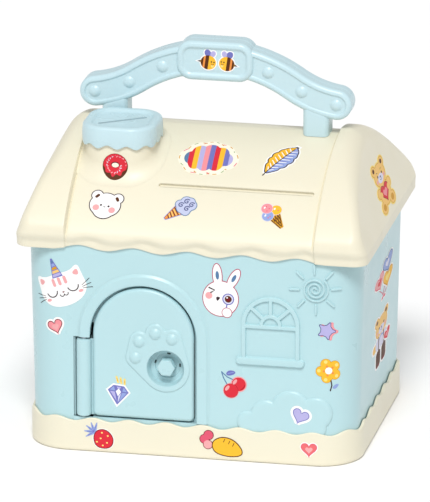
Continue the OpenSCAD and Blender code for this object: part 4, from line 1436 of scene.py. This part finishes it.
def striped_cloud():
    circles = [(-9.6, -0.6, 3.9), (-5.4, 2.6, 4.8), (0.4, 3.0, 5.4), (6.0, 2.0, 4.8), (9.8, -1.0, 3.8),
               (4.6, -3.4, 4.4), (-1.4, -3.8, 4.4), (-6.8, -3.4, 4.0)]
    cloud = [(u * 0.97, v * 1.3) for u, v in union(circles, (0, 0), 120)]
    rim = offset(cloud, 2.6)
    rows = [("ivory", 3.2, cloud)]
    for i in range(0, len(rim) - 2, 5):
        rows.append((("gold", "green", "gold", "rose")[(i // 5) % 4], 0, stroke(rim[i:i + 3], 0.5)))
    stripes = ["slate", "red", "yellow", "lilac", "pink", "purple", "red", "yellow", "purple", "lilac"]
    for i, colour in enumerate(stripes):
        stripe = clip_between(cloud, -13.6 + 2.72 * i, -13.6 + 2.72 * (i + 1), -0.04)
        if len(stripe) > 2:
            rows.append((colour, 0, stripe))
    return layers(*rows)


def leaf():
    """Striped feather leaf, yellow above its rib and blue below."""
    side = [(-11.5, 0.5), (-8, 2.6), (-6.4, 3.2), (-5.2, 2.9), (-3.6, 4.2), (-1.8, 4.5), (-0.6, 4.0),
            (1.2, 4.9), (3.2, 4.8), (4.4, 4.0), (6.4, 4.3), (8.4, 3.4), (10.4, 2.6), (13, 0)]
    side = [(u, v * 1.22) for u, v in side]
    upper, lower = soften(side, 1, False), soften([(u, -v) for u, v in side], 1, False)
    outline = upper + lower[::-1]
    rows = [("white", 1.3, outline), ("ink", 0.6, outline), ("yellow", 0, upper + [(-11.5, 0)]),
            ("sky", 0, lower + [(-11.5, 0)])]
    for i in range(8):
        u, k = -9.6 + 2.6 * i, 3.9 - 0.06 * (i - 4) ** 2 * 2.2
        rows += [("white", 0, *[stroke([(u, 0.2 * s), (u + 1.9, k * s)], 0.7, 0.6) for s in (1, -1)]),
                 ("purple", 0, stroke([(u + 0.9, -0.2), (u + 2.8, -k)], 0.6, 0.6)),
                 ("gold", 0, stroke([(u + 0.9, 0.2), (u + 2.8, k)], 0.35))]
    rows.append(("ink", 0, stroke([(-14.2, 0), (-4, 0.15), (11.5, 0)], 0.55)))
    return layers(*rows)


def soft_cone():
    cone = [(-9.8, -0.5), (-0.6, -3.2), (-0.6, 3.2), (-9.8, 0.5)]
    swirl = [(2.4, 0, 4.4), (4.8, 2.2, 2.8), (5.6, -1.6, 2.8), (1.2, 2.8, 2.3), (1.2, -2.8, 2.3),
             (6.4, 0.6, 2.4)]
    top = union(swirl, (3, 0), 60)
    rows = [("lilac", 0.5, cone), ("ink", 0.2, cone), ("orange", 0, cone)]
    for i in range(5):
        u = -8.2 + 1.75 * i
        k = 0.5 + 2.6 * (u + 9.8) / 9.2
        rows += [("ink", 0, stroke([(u, -k), (u + 0.7, k)], 0.5)),
                 ("light_yellow", 0, stroke([(u + 0.8, -k), (u + 1.5, k)], 0.35))]
    rows += [("slate", 0.4, top), ("lavender", 0, top)]
    for u, v in ((1.4, 1.9), (5.0, 1.9), (2.6, -1.9), (6.0, -1.5)):
        curl = [(u + q * cos(a), v + q * sin(a)) for q, a in [(1.7 - 0.14 * k, 0.75 * k) for k in range(11)]]
        rows.append(("navy", 0, stroke(curl, 0.6)))
    return layers(*rows)


def scoops():
    rows = [("gold", 0, [(-4.0, 0.6), (-1.4, -8.6), (0.8, -8.6), (3.6, 0.6)])]
    for k in range(4):
        rows.append(("brown", 0, stroke([(-3.4 + 1.7 * k, 0.4), (-1.2 + 0.9 * k, -8.2 + 1.2 * k)], 0.55),
                     stroke([(3.1 - 1.5 * k, 0.3), (-0.0 - 0.6 * k, -7.8 + 1.6 * k)], 0.45)))
    for name, u, v, r in (("yellow", 2.6, 3.4, 3.2), ("sky", -3.4, 2.6, 3.3), ("pink", -1.4, 7.2, 3.3)):
        ball = disc(u, v, r, 28)
        rows += [("pearl", 0.2, ball), (name, 0, ball)]
    rows += [("white", 0, *dots([(-4.4, 3.6), (2.2, 4.6), (-2.2, 8.4)], 0.8, 12, 0.6, 30)),
             ("rose", 0, *dots([(-2.4, 1.6), (-3.8, 1.4), (3.4, 2.6), (-0.4, 6.4), (-2.2, 5.8), (-1.2, 8.6)],
                               0.4, 8))]
    return art(layers(*rows), 37, 0.92)


def donut():
    icing = []
    for i in range(64):
        a = 2 * pi * i / 64
        k = 6.5 - max(0, -sin(a)) ** 0.7 * (1.5 + 0.7 * sin(8 * a))
        icing.append((k * cos(a), k * sin(a) + 0.15))
    rows = [("brown", 0, disc(0, 0, 6.8, 52)), ("red", 0, icing)]
    for i in range(40):
        # golden-angle scatter of sprinkles
        a, b, q = 2.399 * i, 1.7 * i, 2.9 + 3.1 * ((i * 0.618) % 1)
        u, v = q * cos(a), q * sin(a) + 0.3
        if v > -4.2:
            sprinkle = stroke([(u, v), (u + 0.6 * cos(b), v + 0.6 * sin(b))], 0.4)
            rows.append((("blush", "pink", "pearl", "rose")[i % 4], 0, sprinkle))
    rows += [("dark_red", 0, disc(0, 0.7, 2.3, 26, 0.72)), ("ivory", 0, disc(0, 0.5, 1.9, 24, 0.66))]
    return layers(*rows)


def bee(flip):
    body = disc(0, 0, 4.1, 34, 0.94)
    wings = [disc(-0.9, 4.9, 1.7, 18, 1.25, 28), disc(1.9, 5.0, 1.4, 16, 1.2, -20)]
    tail = [(-3.8, 0.8), (-5.9, -0.2), (-3.8, -0.6)]
    parts = layers(
        ("white", 0.55, body, *wings), ("white", 0.4, tail), ("purple", 0, wings[0]), ("lilac", 0, wings[1]),
        ("ink", 0, tail), ("yellow", 0, body),
        ("brown", 0, clip_between(body, -3.9, -2.7, 0), clip_between(body, -1.7, 0.1, 0)),
        ("orange", 0, clip_between(body, -2.7, -1.7, 0)), ("light_yellow", 0, disc(2.4, -1.6, 0.8, 12)),
        ("ink", 0, *dots([(1.6, 0.6), (3.0, 0.6)], 0.4, 10)),
        ("dark_red", 0, smile(2.3, -0.3, 0.6, 190, 350, 0.3)))
    return art(parts, 0, 1.02, flip)


def strawberry():
    fruit = soften([(-4.9, 0.6), (-3.2, 4.3), (1.2, 5.0), (5.0, 1.4), (4.6, -3.2), (1.2, -5.0),
                    (-3.6, -4.0)], 2)
    fruit = moved(fruit, (1.2, -0.8))
    fan = (1.3, 1.9, 2.5, 3.1, 3.7)
    leaves = [stroke([(-3.0, 2.4), (-3.0 + 4.6 * cos(a), 2.4 + 4.6 * sin(a))], 1.9, 0.25) for a in fan]
    veins = [stroke([(-3.2, 2.4), (-3.0 + 3.4 * cos(a), 2.4 + 3.4 * sin(a))], 0.3) for a in fan]
    seeds = dots([(0.6, 2.2), (3.4, 0.8), (0.0, -0.6), (3.0, -2.6), (-1.8, -2.4), (1.0, -4.0)], 0.48, 10, 0.8)
    parts = layers(("paper", 0.4, fruit), ("sky", 0, leaves[0], *leaves), ("purple", 0, *veins),
                   ("dark_red", 0.1, fruit), ("red", -0.3, fruit), ("light_yellow", 0, *seeds))
    return art(parts, 0, 1.14)


def carrot():
    root = soften([(-4.6, 2.6), (0, 4.6), (5.6, 3.2), (9.6, -1.6), (9.0, -4.6), (3.0, -5.4), (-3.4, -4.0),
                   (-5.4, -0.8)], 2)
    tuft = [disc(-6.9, 4.9, 2.2, 22), disc(-8.9, 2.8, 2.1, 22), disc(-7.2, 0.2, 2.1, 22)]
    ticks = [stroke([(u, v), (u - 0.7, v - 1.5)], 0.35) for u, v in ((1.0, 3.4), (3.4, 2.6), (5.4, 1.6))]
    parts = layers(("dark_red", 0.3, *tuft), ("rose", 0, *tuft[:2]), ("blush", 0, tuft[2]),
                   ("brown", 0.2, root), ("yellow", -0.25, root), ("brown", 0, *ticks))
    return art(parts, 0, 1.12)


def teddy():
    """Seated teddy that holds a heart: a plain generic design."""
    head, trunk = disc(0, 7.0, 7.6, 44, 0.86), disc(0, -4.6, 7.4, 40, 0.95)
    ears, feet, paws = twins(6.3, 12.4, 2.8, 24), twins(6.6, -11.2, 3.5, 26), twins(7.4, -1.8, 2.7, 22)
    solids = ears + [head, trunk] + feet + paws
    rows = [("light_yellow", 1.2, *solids), ("gold", 0.45, *solids), ("tan", 0, *solids),
            ("brown", 0, *twins(6.3, 12.6, 1.4, 18)), ("pearl", 0, disc(0, 4.9, 3.9, 28, 0.72))]
    for s in SIDES:
        rows += [("ink", 0, disc(s * 3.2, 7.2, 0.75, 14)), ("blush", 0, disc(s * 5.3, 4.8, 1.2, 16)),
                 ("ink", 0, stroke([(s * 2.4, 9.4), (s * 3.8, 9.8)], 0.35)),
                 ("gold", 0, disc(s * 6.6, -11.2, 2.1, 22))]
    love = moved(heart(11.6), (0, -4.6))
    rows += [("ink", 0, disc(0, 5.9, 0.8, 14, 0.7), smile(0, 5.0, 1.0, 200, 340, 0.35)),
             ("dark_red", 0.35, love), ("red", 0, love), ("pink", 0, moved(heart(6.0), (0, -4.8))),
             ("tan", 0, *twins(5.8, -3.6, 1.9, 18))]
    return layers(*rows)


def dressed_bear():
    """Standing bear in trousers with a red heart: a plain generic design."""
    head, ears = disc(0, 9.6, 7.0, 40, 0.88), twins(5.6, 14.8, 2.5, 22)
    shirt = soften([(-6.2, -3.6), (6.2, -3.6), (7.6, 2.6), (4.0, 4.6), (-4.0, 4.6), (-7.6, 2.6)], 2)
    legs = [rounded(5.4, 10.4, 2.2, s * 3.4, -8.8) for s in SIDES]
    cuffs = [rounded(4.0, 1.6, 0.7, s * 3.4, -13.2, n=3) for s in SIDES]
    arms = [disc(-8.0, 0.4, 2.5, 20), disc(8.2, -0.6, 2.5, 20)]
    rows = [("white", 1.0, *ears, head, shirt, *legs, *arms), ("gold", 0.3, head, *ears),
            ("tan", 0, *ears, head, *arms), ("brown", 0, *legs), ("pearl", 0, shirt), ("dark_red", 0, *cuffs),
            ("brown", 0, *twins(5.6, 15.0, 1.2, 16)), ("pearl", 0, disc(0, 7.6, 3.4, 26, 0.7))]
    for s in SIDES:
        rows += [("ink", 0, disc(s * 2.9, 9.8, 0.7, 12)), ("blush", 0, disc(s * 4.8, 7.6, 1.1, 14)),
                 ("sky", 0, stroke([(0, 3.9), (s * 2.8, 2.4)], 1.1, 0.5)),
                 ("brown", 0, stroke([(s * 3.0, 4.2), (s * 3.2, -3.2)], 0.9))]
    love = moved(heart(7.6), (7.6, -2.0), 10)
    rows += [("ink", 0, disc(0, 8.6, 0.7, 12, 0.7), smile(0, 7.8, 0.9, 200, 340, 0.32)), ("white", 0.6, love),
             ("red", 0, love), ("pink", 0, moved(heart(3.6), (7.6, -2.1), 10))]
    return layers(*rows)


def balloons():
    a = moved(heart(13), (5.0, 6.0), 8)
    b = moved(heart(11.5), (-5.6, 1.0), 14)
    c = moved(heart(12.5), (5.2, -3.8), -4)
    strings = [stroke([tie, bend, (0, -12.5)], 0.35)
               for tie, bend in (((5.0, 0), (0.5, -8)), ((-5.2, -4.6), (-1.4, -9)), ((5.2, -9.2), (2, -11)))]
    bow = [disc(-1.3, -12.4, 1.3, 16, 0.7, 20), disc(1.3, -12.4, 1.3, 16, 0.7, -20)]
    return layers(
        ("white", 0.9, a, b, c), ("white", 0.6, *bow), ("rose", 0, *strings, *bow), ("slate", 0.2, a),
        ("sky", -0.5, a), ("pearl", 0, moved(heart(5), (4.4, 6.4), 8)), ("rose", 0.2, b), ("blush", -0.5, b),
        ("red", 0, moved(heart(5), (-5.6, 1.0), 14)), ("gold", 0.2, c), ("yellow", -0.5, c),
        ("light_yellow", 0, moved(heart(6), (5.2, -3.6), -4)))


def on_chimney(z0):
    """The chimney's front, running on down over the fillet at its foot; v is measured upright."""
    def place(u, v, h):
        z = z0 + v
        x, y, _ = wrapped(*CHIMNEY, CHIMNEY_HALF, CHIMNEY_HALF, CHIMNEY_R, u, z, 0)
        low, high = 0, pi / 2
        for _ in range(24):
            b = (low + high) / 2
            if slope_z(y - CHIMNEY_FILLET * (1 - cos(b))) + CHIMNEY_FILLET * (1 - sin(b)) > z:
                low = b
            else:
                high = b
        out = CHIMNEY_FILLET * (1 - cos(low)) + h * cos(low)
        x, y, _ = wrapped(*CHIMNEY, CHIMNEY_HALF, CHIMNEY_HALF, CHIMNEY_R, u, z, out)
        return (x, y, z + h * sin(low) * 1.2)
    return place


def all_stickers():
    sheet_set("sticker_set_front_wall", "root", "stickers_front_wall", [
        (on_wall(-69.1, 90.1), cat_party(), FINE),
        (on_wall(-72.6, 67.9), heart_sticker(9, "pink", "dark_red", 1.0, "blush", 22), FINE),
        (on_wall(16.6, 89.7), bunny(), 0),
        (on_wall(22.7, 42.1), cherries(), 0),
        (on_wall(73.4, 75.4), star_sticker(), FINE),
        (on_wall(74.6, 53.2), flower(), FINE),
        (on_wall(59.6, 27.2, 1.15), heart_sticker(9.3, "lilac", "purple", 1.3, None, -22), 0)])
    sheet_set("sticker_set_side_wall", "root", "stickers_side_wall", [
        (on_side(6.5, 80.8), stretched(balloons(), 2.2, 0.84), 0),
        (on_side(3, 46.8), stretched(dressed_bear(), 2.3, 0.9), 0)])
    sheet_set("sticker_door", "door", "stickers_door", [
        (facing_front(PANEL_Y), art(gem(), 0, 1.04, False, (-38.9, 32.8)), 0)])
    sheet_set("sticker_set_roof_front", "root", "stickers_roof_front", [
        (on_slope(-47.6, -63.4), white_bear(), FINE),
        (on_slope(2.0, -31.8), striped_cloud(), FINE),
        (on_slope(40.4, -30.6), art(leaf(), 59, 1.02), FINE),
        (on_slope(-6.8, -62.6), art(soft_cone(), 40), FINE),
        (on_slope(44, -63.4), scoops(), FINE)])
    sheet_set("sticker_roof_end", "root", "stickers_roof_end", [
        (on_gable(4, 133.4), stretched(teddy(), 1.6, 0.86), 0)])
    sheet_set("sticker_chimney_front", "root", "sticker_chimney", [(on_chimney(151.4), donut(), 1)])
    sheet_set("sticker_set_base", "root", "stickers_base", [
        (on_tray(-48.0, 8.6), strawberry(), 0),
        (on_tray(18.2, 8.4), carrot(), 0),
        (on_tray(64.6, 9.2), heart_sticker(8.8, "coral", "rose", 0.45, "blush", 0), 0)])
    plaque = facing_front(-PLAQUE_T + 1.05)
    sheet_set("sticker_set_handle", "root", "stickers_handle", [
        (plaque, art(bee(False), -8, 1, False, (-3.5, PLAQUE_Z - 0.6)), 0),
        (plaque, art(bee(True), -8, 1, False, (6.5, PLAQUE_Z - 0.9)), 0)])


# ---------- carried-over CAD nodes ----------

def dress(mat, *nodes):
    for node in nodes:
        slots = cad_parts[node].data.materials
        slots.clear()
        slots.append(mat)


def carried_nodes():
    dress(SCREW, "base_screws", "roof_screws", "handle_screws", "handle_post_screws", "door_lining_screws",
          "lock_screw")
    dress(CAM, "door_hinge_pin", "lock_washer", "lock_cam")
    dress(LINING, "door_lining")


# ---------- stage, light and camera ----------

def stage_floor():
    """Paper just under the tray's foot."""
    shape, n = Shape(), 96
    rings = [[(r * cos(2 * pi * i / n), r * sin(2 * pi * i / n), -0.1) for i in range(n)]
             for r in (9000, 1500, 400, 0.001)]
    shape.face(shape.loft(rings)[-1])
    obj = to_object(shape, "studio_floor")
    obj.data.materials.append(studio_paper())
    for p in obj.data.polygons:
        if p.normal.z < 0:
            p.flip()


def aimed(name, data, towards):
    """A light or camera that looks along a direction."""
    obj = bpy.data.objects.new(name, data)
    obj.rotation_euler = Vector(towards).to_track_quat("-Z", "Y").to_euler()
    bpy.context.scene.collection.objects.link(obj)
    return obj


def lights():
    world = bpy.data.worlds.new("studio")
    world.use_nodes = True
    sky = world.node_tree.nodes["Background"].inputs
    sky["Color"].default_value = (1, 1, 1, 1)
    sky["Strength"].default_value = 0.5
    bpy.context.scene.world = world
    key = bpy.data.lights.new("key", "SUN")
    key.energy = 2.3
    key.angle = radians(20)
    aimed("key", key, (-0.08, 0.63, -0.78))
    bpy.context.scene.view_settings.view_transform = "Standard"


def camera():
    turn, lift, far = radians(11.652), radians(17.894), 4281.29
    back = Vector((sin(turn) * cos(lift), -cos(turn) * cos(lift), sin(lift)))
    target = Vector((cos(turn), sin(turn), 0)) * -1.28 + Vector((0, 0, 92.13))
    data = bpy.data.cameras.new("camera")
    data.sensor_width = 36
    data.lens = 8000 / 502 * data.sensor_width
    obj = aimed("camera", data, -back)
    obj.location = (target + back * far) * MM
    bpy.context.scene.camera = obj


# ---------- build ----------

base_tray()
house_body()
roof_shell()
chimney_cap()
handle_half(front=True)
handle_half(front=False)
door_panel()
lock_spindle()
all_stickers()
carried_nodes()
stage_floor()
lights()
camera()
